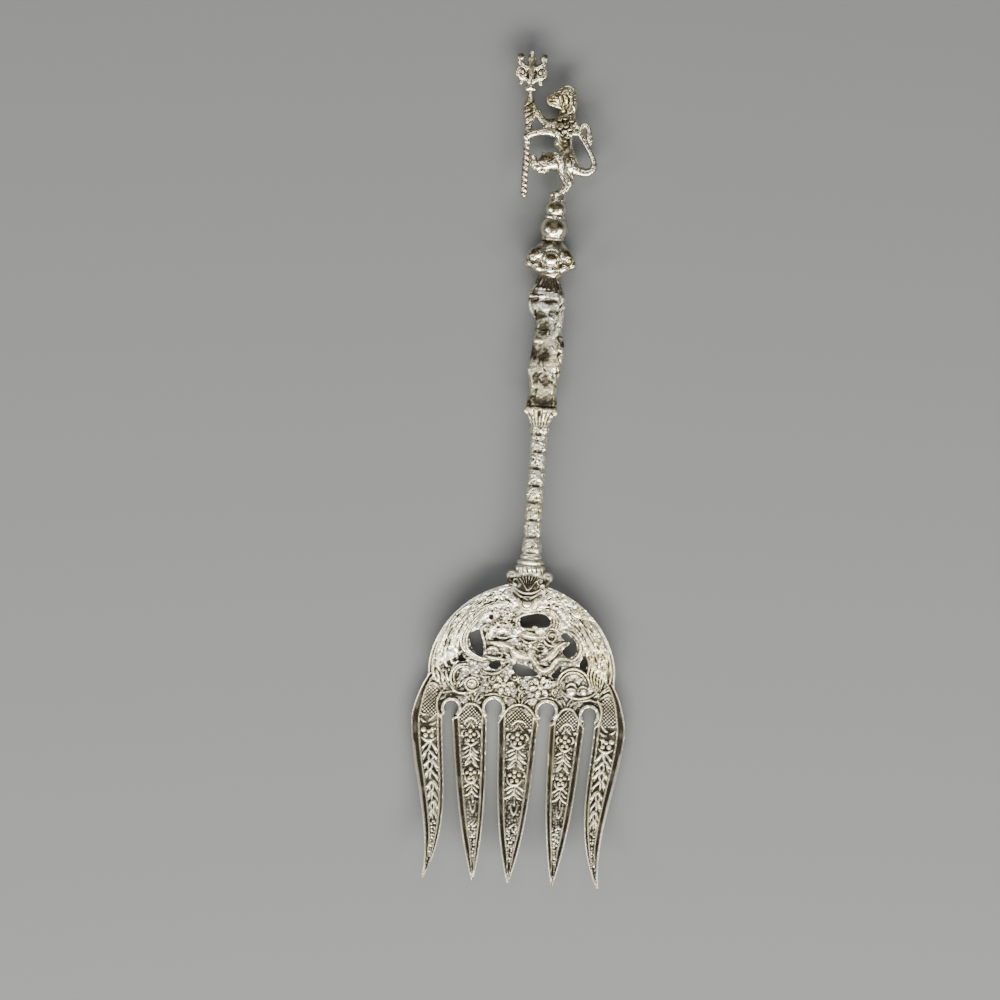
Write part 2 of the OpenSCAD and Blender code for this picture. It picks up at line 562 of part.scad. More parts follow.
// Lion that walks upright, seen from its side; its foot is at the origin
module lion() {
    // Standing leg, body, raised leg and the two forelegs
    limb([[0.4, -0.6, 0, 1.4, 1.8], [2.2, 1.2, 0, 1.2, 1.6], [4.4, 3.2, 0, 1.3, 1.7], [3.4, 6.4, 0, 1.8, 2.2],
        [2.8, 9.6, 0, 2.7, 2.6]]);
    limb([[3.2, 9, 0, 2.6, 2.6], [2.4, 12.4, 0, 1.9, 2.2], [1.9, 15, 0, 1.8, 2.3], [1.4, 18.2, 0, 2.5, 2.8],
        [1.6, 21.4, 0, 2.9, 2.8], [2, 24.6, 0, 2.4, 2.6]]);
    limb([[1.4, 9.8, 0.4, 2, 1.9], [-1.6, 8.6, 0.8, 1.7, 1.5], [-4, 8.2, 1, 1.2, 1.2],
        [-7.8, 9.2, 0.8, 1.1, 1.1], [-7.7, 11.4, 0.8, 0.7, 0.9]]);
    limb([[1, 21.6, -0.8, 1.6, 1.5], [-2, 21.4, -1, 1.1, 1.2], [-4.6, 21.6, -1, 0.9, 1.1],
        [-7.2, 23.6, -0.6, 1.2, 1.2]]);
    limb([[0.8, 18.2, 0.6, 1.6, 1.6], [-2, 18.6, 1, 1.1, 1.3], [-5.2, 18.6, 1, 0.9, 1.1],
        [-8.2, 17, 0.8, 0.9, 1.1], [-10, 16.4, 0.4, 1.2, 1.2]]);
    // Tail
    limb([
        [5.2, 8.8, 0, 1, 1.1], [7.6, 7.6, 0, 0.8, 0.9], [9.8, 7.6, 0, 0.8, 0.9], [11.1, 9.4, 0, 0.7, 0.8],
        [10.4, 12.4, 0, 0.7, 0.8], [8.6, 15.6, 0, 0.7, 0.8], [6.8, 18.4, 0, 0.7, 0.8],
        [6.8, 20.2, 0, 0.8, 0.8], [8, 20.8, 0, 0.8, 0.8], [8.8, 19, 0, 0.9, 0.9],
        [9.4, 16.4, 0, 0.9, 0.9], [9.2, 15.4, 0, 0.5, 0.6]
    ], 6);
    limb([[3.6, 19, 0, 0.8, 1.2], [6.8, 18.9, 0, 0.7, 0.8]], 5);
    // Head, muzzle and mane
    hull() {
        translate([1.4, 28.8, 0]) scale([1, 1.1, 0.95]) sphere(2.9, $fn = 8);
        translate([-2.4, 28.6, 0]) sphere(1.5, $fn = 6);
    }
    hull() {
        translate([-1.6, 28.2, 0]) sphere(1.6, $fn = 6);
        translate([-3.8, 27.4, 0]) sphere(0.9, $fn = 6);
    }
    for (k = [0:3]) let (a = 60 - 50 * k)
        limb([[1.6 + 2.2 * cos(a), 28 + 3.2 * sin(a) - 0.5 * k, 0, 1.1, 2.2],
            [2.4 + 2.6 * cos(a), 26.6 + 3.2 * sin(a) - 0.5 * k, 0, 0.7, 1.8]], 5);
}

// Twisted staff with a bud above the lion's paws and a crown on its top
module staff() {
    x = -9.5;
    r = staff_d / 2;
    foot = -1.6;
    turns = 4;
    steps = 5 * turns;
    top = 19;
    skin([for (i = [0:steps])
        oval([x, mix(foot, top, i / steps), 0.3], [0, 1], r * 1.1, r * 1.1, 4, 0.4 * i)]);
    limb([
        [x, top - 0.5, 0.3, 0.8, 0.9], [x, 21.4, 0, 1.3, 1.3], [x, 24.6, 0, 1.9, 1.7], [x, 27.4, 0, 1.5, 1.5],
        [x, 29.8, 0, 0.75, 0.9], [x, 31, 0, 1.3, 1.3], [x, 32, 0, 0.9, 1], [x, 36, 0, 0.9, 1],
        [x, STAFF_TOP - 0.6, 0, 0.75, 0.9]
    ]);
    for (side = [-1, 1]) {
        limb([for (p = concat([[0.3, 32.2]], spiral([2.5, 35.6], 2.2, 0.9, SCROLL[0], SCROLL[1], 6)))
            [x + side * p.x, p.y, 0, 0.7, 0.9]], 4);
        limb([[x + side * 0.6, 37.6, 0, 0.6, 0.8], [x + side * 2.6, 38.6, 0, 0.7, 0.8],
            [x + side * 3.4, 40.2, 0, 0.9, 0.9]], 4);
        translate([x + side * 3.5, 40.4, 0]) sphere(1.1, $fn = 6);
        translate([x + side * 2.7, 32.9, 0]) sphere(0.8, $fn = 6);
    }
}

module finial() {
    translate([handle_x, foot_y, axis_z(foot_y)])
        scale([lion_scale, lion_scale, lion_t / LION_DRAWN[1]]) {
            lion();
            staff();
        }
}

// The origin is below the middle of the whole length
module salad_fork() {
    color(SILVER) translate([0, (tip_half - crown_top_y) / 2, 0]) {
        head();
        handle();
        finial();
    }
}

salad_fork();
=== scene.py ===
"""Serving fork for salad, cast in one piece of silver and chased all over its front.

Every size is in millimetres from the tip of the middle tine: X across, Y up the handle, and Z up out of
the table. `Place` turns them into the frame's metres.
"""

import logging
import math
from dataclasses import dataclass, field
from enum import Enum
from typing import Iterable, Sequence

import bmesh
import bpy
import numpy as np
from mathutils import Matrix, Vector, noise


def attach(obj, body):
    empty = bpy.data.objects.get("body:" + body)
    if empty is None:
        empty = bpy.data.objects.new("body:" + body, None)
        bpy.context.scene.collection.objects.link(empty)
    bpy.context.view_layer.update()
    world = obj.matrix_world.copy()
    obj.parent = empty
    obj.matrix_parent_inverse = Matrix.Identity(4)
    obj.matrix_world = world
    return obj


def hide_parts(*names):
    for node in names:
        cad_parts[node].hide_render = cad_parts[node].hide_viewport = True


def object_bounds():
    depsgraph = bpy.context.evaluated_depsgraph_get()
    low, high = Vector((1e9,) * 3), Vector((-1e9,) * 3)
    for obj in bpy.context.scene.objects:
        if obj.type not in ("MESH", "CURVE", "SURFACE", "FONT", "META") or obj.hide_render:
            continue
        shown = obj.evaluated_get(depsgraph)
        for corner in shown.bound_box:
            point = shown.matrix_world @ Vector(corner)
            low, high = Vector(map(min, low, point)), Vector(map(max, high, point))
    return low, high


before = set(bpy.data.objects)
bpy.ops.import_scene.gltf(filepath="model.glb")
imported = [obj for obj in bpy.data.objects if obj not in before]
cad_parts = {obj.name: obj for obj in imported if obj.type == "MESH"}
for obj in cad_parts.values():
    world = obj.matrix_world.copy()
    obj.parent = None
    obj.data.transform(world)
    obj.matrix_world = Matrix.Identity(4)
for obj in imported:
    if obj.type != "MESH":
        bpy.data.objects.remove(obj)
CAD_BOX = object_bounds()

logging.basicConfig(level=logging.INFO, format="%(levelname)s %(message)s")
LOG = logging.getLogger("salad_fork")

MM = 0.001
BODY = "root"
NODE = "salad_fork"
# Name of the mesh attribute that says how dark the metal is painted: tarnish, painted shade and painted highlight
# together.
OXIDE_AND_SHADE = "oxide_and_shade"
IMAGE_PX = 1000
MM_PER_PX = 0.297
PEBBLE_SEED = 11
ROOF_Z = 40.0  # top of the block whose underside is the head's back
PRISM_Z = -6.0  # foot of the walls that cut a plan
PRISM_H = 30.0
SKIRT_Z = -3.0  # foot of a chased block, under the table
FAR = 9.0  # further than any stroke is wide
NO_RISE = -9.0  # lower than any ground, so it never shows

Point = tuple[float, float]
Point3 = tuple[float, float, float]
Path = Sequence[Point]


class Crest(Enum):
    """Cross-section of a chased stroke."""

    ROUND = "round"
    SHARP = "sharp"
    FLAT = "flat"
    SOFT = "soft"
    BROAD = "broad"


class Taper(Enum):
    """Where a stroke thins out."""

    NONE = "none"
    BOTH = "both"
    START = "start"
    END = "end"


class Join(Enum):
    """How a stroke meets what is already there."""

    RAISE = "raise"
    ADD = "add"
    CARVE = "carve"


class Finish(Enum):
    """How worn or oxidised a piece starts out."""

    CAST = "cast"
    CHASED = "chased"
    SANDY = "sandy"


@dataclass(frozen=True)
class Place:
    """Where the drawing's origin lies in the frame."""

    tip_half: float = 0.35

    def shift(self) -> float:
        """Distance along Y from the drawing to the frame, in millimetres."""
        return CAD_BOX[0][1] / MM + self.tip_half

    def to_frame(self, obj: bpy.types.Object) -> None:
        """Scale a finished mesh to metres and move it into the frame."""
        obj.data.transform(Matrix.Scale(MM, 4) @ Matrix.Translation((0, self.shift(), 0)))

    def point(self, x: float, y: float, z: float) -> Vector:
        """One point of the drawing in the frame's metres."""
        return Vector((x, y + self.shift(), z)) * MM


PLACE = Place()


def eased(value: np.ndarray, low: float, high: float) -> np.ndarray:
    """Smooth step from 0 at low to 1 at high."""
    t = np.clip((value - low) / (high - low), 0.0, 1.0)
    return t * t * (3.0 - 2.0 * t)


def curve(points: Path, per: int = 5, closed: bool = False) -> np.ndarray:
    """A smooth curve through points.

    Args:
        points: Places that the curve passes.
        per: Steps from one place to the next.
        closed: Whether the last place joins the first.

    Returns:
        The curve's places, one row each.
    """
    p = np.array(points, float)
    if len(p) < 3 and not closed:
        t = np.linspace(0, 1, per + 1)[:, None]
        return p[0] * (1 - t) + p[-1] * t
    if closed:
        p = np.vstack([p[-1], p, p[0], p[1]])
    else:
        p = np.vstack([2 * p[0] - p[1], p, 2 * p[-1] - p[-2]])
    out = []
    for a, b, c, d in zip(p[:-3], p[1:-2], p[2:-1], p[3:]):
        for t in np.arange(per) / per:
            out.append(
                0.5 * (2 * b + (c - a) * t + (2 * a - 5 * b + 4 * c - d) * t * t + (3 * b - a - 3 * c + d) * t**3)
            )
    if not closed:
        out.append(p[-2])
    return np.array(out)


def arc(cx: float, cy: float, radius: float, start: float, end: float, steps: int = 14) -> list[Point]:
    """Places on an arc, with its angles in degrees."""
    return spiral(cx, cy, radius, radius, start, end, steps)


def spiral(
    cx: float, cy: float, first: float, last: float, start: float, end: float, steps: int = 18
) -> list[Point]:
    """Places on a spiral whose radius goes from first to last."""
    out = []
    for i in range(steps + 1):
        t = i / steps
        a = math.radians(start + (end - start) * t)
        r = first + (last - first) * t
        out.append((cx + r * math.cos(a), cy + r * math.sin(a)))
    return out


def between(a: Path, b: Path, share: float) -> list[Point]:
    """The path that lies a share of the way from one path to another of as many places."""
    return [(p[0] + (q[0] - p[0]) * share, p[1] + (q[1] - p[1]) * share) for p, q in zip(a, b)]


def mirrored(points: Path, axis: float = 0.0) -> list[Point]:
    """A path turned left for right about a line."""
    return [(2 * axis - p[0], p[1]) for p in points]


@dataclass
class Relief:
    """Chased ornament as a height over many places at once.

    Attributes:
        x: Place of each sample across.
        y: Place of each sample along.
        height: Height so far at each sample.
    """

    x: np.ndarray
    y: np.ndarray
    height: np.ndarray

    def near(self, path: np.ndarray, reach: float) -> np.ndarray:
        """Samples inside the path's box, widened by a reach."""
        lo, hi = path.min(axis=0) - reach, path.max(axis=0) + reach
        return np.nonzero((self.x > lo[0]) & (self.x < hi[0]) & (self.y > lo[1]) & (self.y < hi[1]))[0]

    def lay(self, where: np.ndarray, rise: np.ndarray, join: Join, level: float) -> None:
        """Join a rise to what is there at some samples."""
        if join is Join.RAISE:
            top = np.where(rise > 0, level + rise, NO_RISE)
            self.height[where] = np.maximum(self.height[where], top)
        elif join is Join.ADD:
            self.height[where] += rise
        else:
            self.height[where] -= rise

    def stroke(
        self,
        points: Path,
        width: float,
        rise: float,
        taper: Taper = Taper.BOTH,
        crest: Crest = Crest.ROUND,
        join: Join = Join.RAISE,
        level: float = 0.0,
        per: int = 5,
    ) -> None:
        """A raised or cut stroke along a curve.

        Args:
            points: Places that the stroke passes.
            width: Half its width.
            rise: Its height or depth at the crest.
            taper: Where it thins out.
            crest: Shape of its section.
            join: How it meets what is there.
            level: Height from which a raised stroke starts.
            per: Steps of the curve from one place to the next.
        """
        path = curve(points, per)
        where = self.near(path, width)
        if not len(where):
            return
        at = np.stack([self.x[where], self.y[where]], axis=1)
        best = np.full(len(where), FAR)
        along = np.zeros(len(where))
        steps = len(path) - 1
        for i in range(steps):
            a, d = path[i], path[i + 1] - path[i]
            size = float(d @ d)
            if size < 1e-12:
                continue
            t = np.clip(((at - a) @ d) / size, 0, 1)
            far = np.hypot(at[:, 0] - a[0] - t * d[0], at[:, 1] - a[1] - t * d[1])
            closer = far < best
            best[closer] = far[closer]
            along[closer] = (i + t[closer]) / steps
        thin = thinning(along, taper)
        u = best / (width * thin)
        shape = section(u, crest)
        self.lay(where, rise * np.sqrt(thin) * shape, join, level)

    def dome(
        self,
        cx: float,
        cy: float,
        radius: float,
        rise: float,
        ratio: float = 1.0,
        turn: float = 0.0,
        join: Join = Join.RAISE,
        level: float = 0.0,
        crest: Crest = Crest.ROUND,
    ) -> None:
        """A round or oval boss.

        Args:
            cx: Middle across.
            cy: Middle along.
            radius: Half its longer width.
            rise: Its height.
            ratio: Shorter width over the longer.
            turn: Angle of the longer width in degrees.
            join: How it meets what is there.
            level: Height from which it starts.
            crest: Shape of its section.
        """
        centre = np.array([[cx, cy]])
        where = self.near(centre, radius)
        c, s = math.cos(math.radians(turn)), math.sin(math.radians(turn))
        dx, dy = self.x[where] - cx, self.y[where] - cy
        u = np.hypot(dx * c + dy * s, (dy * c - dx * s) / ratio) / radius
        self.lay(where, rise * section(u, crest), join, level)

    def berries(self, places: Iterable[tuple[float, float, float]], rise: float) -> None:
        """Round berries at (x, y, radius), each in a cut ring."""
        for x, y, r in places:
            self.dome(x, y, r * 1.35, 0.35 * rise, join=Join.CARVE)
        for x, y, r in places:
            self.dome(x, y, r, rise, level=0.05)

    def ring(
        self, cx: float, cy: float, radius: float, width: float, rise: float, start: float = 0, end: float = 360
    ) -> None:
        """A raised ring or a part of one."""
        whole = abs(end - start) >= 360
        self.stroke(
            arc(cx, cy, radius, start, end, 20), width, rise, Taper.NONE if whole else Taper.BOTH, per=2
        )

    def pebbles(self, mask: np.ndarray, pitch: float, rise: float, seed: int) -> None:
        """A ground of small uneven grains.

        Args:
            mask: Strength of the grains at each sample, 0 to 1.
            pitch: Usual distance from grain to grain.
            rise: Height of a grain.
            seed: Choice of the uneven places.
        """
        where = np.nonzero(mask > 0.02)[0]
        if not len(where):
            return
        jitter = np.random.default_rng(seed).random((64, 64, 3))
        gx, gy = self.x[where] / pitch, self.y[where] / pitch
        ix, iy = np.floor(gx).astype(int), np.floor(gy).astype(int)
        best = np.full(len(where), FAR)
        size = np.ones(len(where))
        for ox in (-1, 0, 1):
            for oy in (-1, 0, 1):
                cell = jitter[(ix + ox) % 64, (iy + oy) % 64]
                far = np.hypot(ix + ox + 0.15 + 0.7 * cell[:, 0] - gx, iy + oy + 0.15 + 0.7 * cell[:, 1] - gy)
                closer = far < best
                best[closer] = far[closer]
                size[closer] = cell[closer, 2]
        grain = np.clip(1.0 - (best / 0.62) ** 2, 0, 1) * (0.55 + 0.45 * size)
        self.height[where] += rise * grain * mask[where]


def thinning(along: np.ndarray, taper: Taper) -> np.ndarray:
    """Share of a stroke's width at each place along it."""
    if taper is Taper.NONE:
        return np.ones_like(along)
    if taper is Taper.BOTH:
        return np.clip(np.sin(np.pi * along), 0.02, 1) ** 0.55
    share = along if taper is Taper.START else 1 - along
    return np.clip(np.sin(0.5 * np.pi * share), 0.02, 1) ** 0.7


def section(u: np.ndarray, crest: Crest) -> np.ndarray:
    """Height of a stroke's section, from 1 on its crest to 0 at its side.

    Args:
        u: Distance from the crest over half the width.
        crest: Shape of the section.
    """
    inside = np.clip(u, 0, 1)
    if crest is Crest.SHARP:
        return 1 - inside
    if crest is Crest.FLAT:
        return 1 - eased(inside, 0.55, 1.0)
    if crest is Crest.SOFT:
        return (1 - inside**2) ** 2
    if crest is Crest.BROAD:
        return 1 - eased(inside, 0.25, 1.0)
    return np.sqrt(np.clip(1 - inside**2, 0, 1)) * (1 - 0.35 * inside**4)


def distance_to(path: np.ndarray, x: np.ndarray, y: np.ndarray) -> np.ndarray:
    """Distance from each sample to a line of straight pieces."""
    best = np.full(x.shape, 1e9)
    for a, b in zip(path[:-1], path[1:]):
        d = b - a
        size = float(d @ d)
        if size < 1e-12:
            continue
        t = np.clip(((x - a[0]) * d[0] + (y - a[1]) * d[1]) / size, 0, 1)
        best = np.minimum(best, np.hypot(x - a[0] - t * d[0], y - a[1] - t * d[1]))
    return best


def softened(grid: np.ndarray, cells: int) -> np.ndarray:
    """A grid blurred by three running means of a width in cells."""
    out = grid
    for _ in range(3):
        for axis in (0, 1):
            pad = [(cells, cells) if a == axis else (0, 0) for a in (0, 1)]
            total = np.cumsum(np.pad(out, pad, mode="edge"), axis=axis)
            total = np.insert(total, 0, 0, axis=axis)
            n = 2 * cells + 1
            high = np.take(total, np.arange(n, total.shape[axis]), axis=axis)
            low = np.take(total, np.arange(0, total.shape[axis] - n), axis=axis)
            out = (high - low) / n
    return out


def softly(x: np.ndarray, y: np.ndarray, size: float) -> np.ndarray:
    """Smooth uneven values from about -1 to 1, alike over a size."""
    table = np.random.default_rng(5).uniform(-1, 1, (64, 64))
    gx, gy = x / size + 40, y / size + 40
    ix, iy = np.floor(gx).astype(int), np.floor(gy).astype(int)
    fx, fy = eased(gx - ix, 0, 1), eased(gy - iy, 0, 1)
    low = table[ix % 64, iy % 64] * (1 - fx) + table[(ix + 1) % 64, iy % 64] * fx
    high = table[ix % 64, (iy + 1) % 64] * (1 - fx) + table[(ix + 1) % 64, (iy + 1) % 64] * fx
    return low * (1 - fy) + high * fy


@dataclass
class HeadForm:
    """Plan, dish and thickness of the fork's head."""

    head_w: float = 64.0
    tine_len: float = 47.0
    arch_w: float = 55.6
    arch_h: float = 26.7
    arch_y: float = 62.0
    collar_y: float = 92.2
    tip_half: float = 0.35
    tip_rise: float = 8.0
    neck_rise: float = 6.0
    side_rise: float = 2.4
    knop_y: float = 185.5
    knop_depth: float = 5.8
    plate_t: float = 1.4
    outer_bend: float = 0.7
    inner_bend: float = 1.3
    hem: float = 0.03
    arch_full: float = 1.87
    middle: tuple[float, ...] = (6.05, 5.14, 5.08, 0.35)
    inner_in: tuple[float, ...] = (9.35, 8.92, 8.47, 11.45)
    inner_out: tuple[float, ...] = (19.75, 18.3, 16.88, 12.15)
    outer_in: tuple[float, ...] = (22.65, 21.95, 18.05, 25.52)
    outer_out: tuple[float, ...] = (31.9, 31.7, 24.0, 26.22)
    holes: tuple[tuple[float, float, float], ...] = (
        (-20.2, 50.1, 1.95),
        (-7.6, 50.8, 2.4),
        (8.2, 50.9, 2.35),
        (20.9, 50.6, 2.0),
    )

    def dish(self, x: np.ndarray, y: np.ndarray) -> np.ndarray:
        """Height of the back of the head over the table."""
        below = np.clip((self.tine_len - y) / self.tine_len, 0, None)
        above = np.clip((y - self.tine_len) / (self.collar_y - self.tine_len), 0, 1)
        low = self.tip_rise * below**2
        high = self.neck_rise * (1 - np.cos(np.pi * above)) / 2
        return low + high + self.side_rise * (2 * x / self.head_w) ** 2

    def axis(self, y: float) -> float:
        """Height of the handle's middle line over the table."""
        start = self.neck_rise + self.plate_t / 2
        return start + (self.knop_depth - start) * (y - self.collar_y) / (self.knop_y - self.collar_y)

    def edge(self, tine: int, side: int, y: np.ndarray) -> np.ndarray:
        """Place across of a tine's left or right edge.

        Args:
            tine: Number of the tine from the left, from 0.
            side: 0 for its left edge, 1 for its right.
            y: Places along.
        """
        right = side == 1
        neg = tuple(-v for v in self.middle)
        table = [
            [tuple(-v for v in self.outer_out), tuple(-v for v in self.outer_in)],
            [tuple(-v for v in self.inner_out), tuple(-v for v in self.inner_in)],
            [neg, self.middle],
            [self.inner_in, self.inner_out],
            [self.outer_in, self.outer_out],
        ]
        bend = (self.outer_bend, self.inner_bend, 0.0, self.inner_bend, self.outer_bend)[tine]
        a, b, c, d = table[tine][1 if right else 0]
        s = np.clip(1 - np.asarray(y, float) / self.tine_len, 0, 1)
        x = a * (1 - s) ** 3 + 3 * b * s * (1 - s) ** 2 + 3 * c * s * s * (1 - s) + d * s**3 + bend * s
        if (tine, side) in ((0, 0), (4, 1)):
            ring = np.array(self.shoulder() + [(27.3, 60.0)])
            above = np.interp(y, ring[:, 1], ring[:, 0])
            x = np.where(np.asarray(y) > self.tine_len, above if right else -above, x)
        return x + (-self.hem if right else self.hem)

    def tine_outline(self, tine: int) -> list[Point]:
        """Plan of one tine, from its left shoulder round its tip."""
        ys = self.tine_len * (1 - np.linspace(0, 1, 44) ** 0.8)
        left = [(float(x), float(y)) for x, y in zip(self.edge(tine, 0, ys), ys)]
        right = [(float(x), float(y)) for x, y in zip(self.edge(tine, 1, ys), ys)]
        tip = ((left[-1][0] + right[-1][0]) / 2, -self.tip_half + self.hem)
        low = [(left[-1][0] * 0.7 + tip[0] * 0.3, -0.22), tip, (right[-1][0] * 0.7 + tip[0] * 0.3, -0.22)]
        top = self.tine_len + 3
        return [(left[0][0], top)] + left + low + right[::-1] + [(right[0][0], top)]

    def arch(self, inset: float, start: float = -4.0, end: float = 184.0, steps: int = 64) -> list[Point]:
        """Places along the arch, an inset in from its outer edge."""
        out = []
        for i in range(steps + 1):
            a = math.radians(start + (end - start) * i / steps)
            x, y = (math.copysign(abs(v) ** (2 / self.arch_full), v) for v in (math.cos(a), math.sin(a)))
            out.append(((self.arch_w / 2 - inset) * x, self.arch_y + (self.arch_h - inset) * y))
        return out

    def shoulder(self) -> list[Point]:
        """Right shoulder, from the outer tine's corner to the notch under the arch."""
        p = ((self.head_w / 2 - 0.1, self.tine_len), (30.8, 54.5), (27.3, 60.0))
        out = []
        for i in range(12):
            t = i / 12
            out.append(
                tuple(p[0][k] * (1 - t) ** 2 + 2 * p[1][k] * t * (1 - t) + p[2][k] * t * t for k in (0, 1))
            )
        return out

    def plate_outline(self) -> list[Point]:
        """Plan of the plate above the tines' shoulders."""
        right = self.shoulder()
        low = self.tine_len - 3
        edge = self.head_w / 2 - 0.1
        ring = [(edge, low)] + right + self.arch(0.0) + mirrored(right[::-1]) + [(-edge, low)]
        k = 1 - self.hem / 30
        return [(x * k, y) for x, y in ring]

    def slots(self) -> list[list[Point]]:
        """Plans of the four slots where they run up into their round ends."""
        out = []
        for i, (cx, cy, r) in enumerate(self.holes):
            low = self.tine_len - 4
            x0 = float(self.edge(i, 1, self.tine_len))
            x1 = float(self.edge(i + 1, 0, self.tine_len))
            half = min(0.96 * r, (x1 - x0) / 2 + 0.1)
            a = math.degrees(math.acos(min(1.0, half / r)))
            out.append([(x0, low), (x1, low), (x1, self.tine_len)] + arc(cx, cy, r, -a, 180 + a, 28)
                       + [(x0, self.tine_len)])
        return out


PIERCINGS: tuple[tuple[Point, ...], ...] = (
    ((-16.2, 72.5), (-15, 73.4), (-13.8, 74), (-13, 73), (-12.4, 71), (-11.8, 68), (-11.7, 66.4), (-13.3, 66.3),
     (-15, 68), (-16, 70)),
    ((-1.3, 78.3), (0.5, 79), (2.5, 79.7), (4.5, 79.9), (6.3, 79.3), (7.5, 78), (7.5, 76.8), (6.8, 76),
     (5, 75.6), (4.4, 75.4), (3.2, 76.1), (2.6, 76.2), (2.2, 75.6), (0.5, 75.3), (-1.2, 75.6), (-1.6, 76.8)),
    ((11.4, 74.5), (12.4, 74.6), (14, 73.5), (15.5, 72), (16, 70), (15.5, 68.3), (14, 67.3), (12.9, 67.4),
     (11.9, 68.3), (11.7, 69.5), (13.4, 71.2), (13.4, 72), (12.2, 72.2), (10.9, 73.5)),
    ((-19.2, 64.3), (-18.8, 66), (-18.2, 66.4), (-17.2, 65.2), (-16.6, 64.6), (-17.5, 64.1)),
    ((-9.8, 64), (-8.5, 64.7), (-6.5, 64.6), (-6.3, 63.5), (-7.3, 62.5), (-8.8, 62.4), (-9.8, 63)),
    ((-2.9, 63.6), (-1.8, 64.6), (0, 64.3), (2, 63.8), (3.8, 62.8), (4.9, 61.6), (3.5, 61), (1.5, 60.8),
     (0, 60.6), (-1.5, 61.3), (-2.6, 62.2)),
    ((9, 62), (10.2, 63.5), (11.5, 64.8), (12, 64.4), (11.3, 62.5), (10.8, 61), (9.7, 60.8), (9, 61.3)),
    ((17, 65.5), (17.6, 67), (18.3, 68.3), (19.2, 66.5), (19.2, 65), (18.7, 64), (17.5, 64.2)),
)
PIERCED_DOT = (-10.2, 77.9, 0.8)


@dataclass
class Border:
    """Section of an edge: a bright lip, a dark channel and a bright ridge inside it; the brightness is a painted
    highlight.
    """

    lip: float = 1.3
    channel: float = 0.55
    crest: float = 1.62
    floor: float = 1.0

    def profile(
        self, u: np.ndarray, w: np.ndarray, real: np.ndarray | None = None, wide: np.ndarray | float = 0.34
    ) -> tuple[np.ndarray, np.ndarray, np.ndarray]:
        """Thickness, painted highlight and reach of the border.

        Args:
            u: Distance in from the edge, in the border's own measure.
            w: Distance from the edge to the ridge, in the same measure.
            real: Distance in from the edge in millimetres, where it differs.
            wide: Width of the lip.

        Returns:
            The thickness, the painted highlight from 0 to 1, and 1 where the border ends and the ground starts.
        """
        real = u if real is None else real
        lip = eased(real, -0.9, -0.5) * (1 - eased(real, wide, wide + 0.2))
        ridge = eased(u, w - 0.16, w + 0.16) * (1 - eased(u, w + 0.4, w + 0.74))
        ground = eased(u, w + 0.34, w + 0.74)
        base = self.channel + (self.floor - self.channel) * ground
        thick = np.maximum(np.maximum(base, self.lip * lip), self.crest * ridge)
        # Painted highlight: the lip and the ridge are kept clear of the dark, standing in for the glint on their
        # rounding.
        shine = np.maximum(1 - eased(real, wide + 0.04, wide + 0.24), eased(ridge, 0.2, 0.6))
        return thick, shine, ground


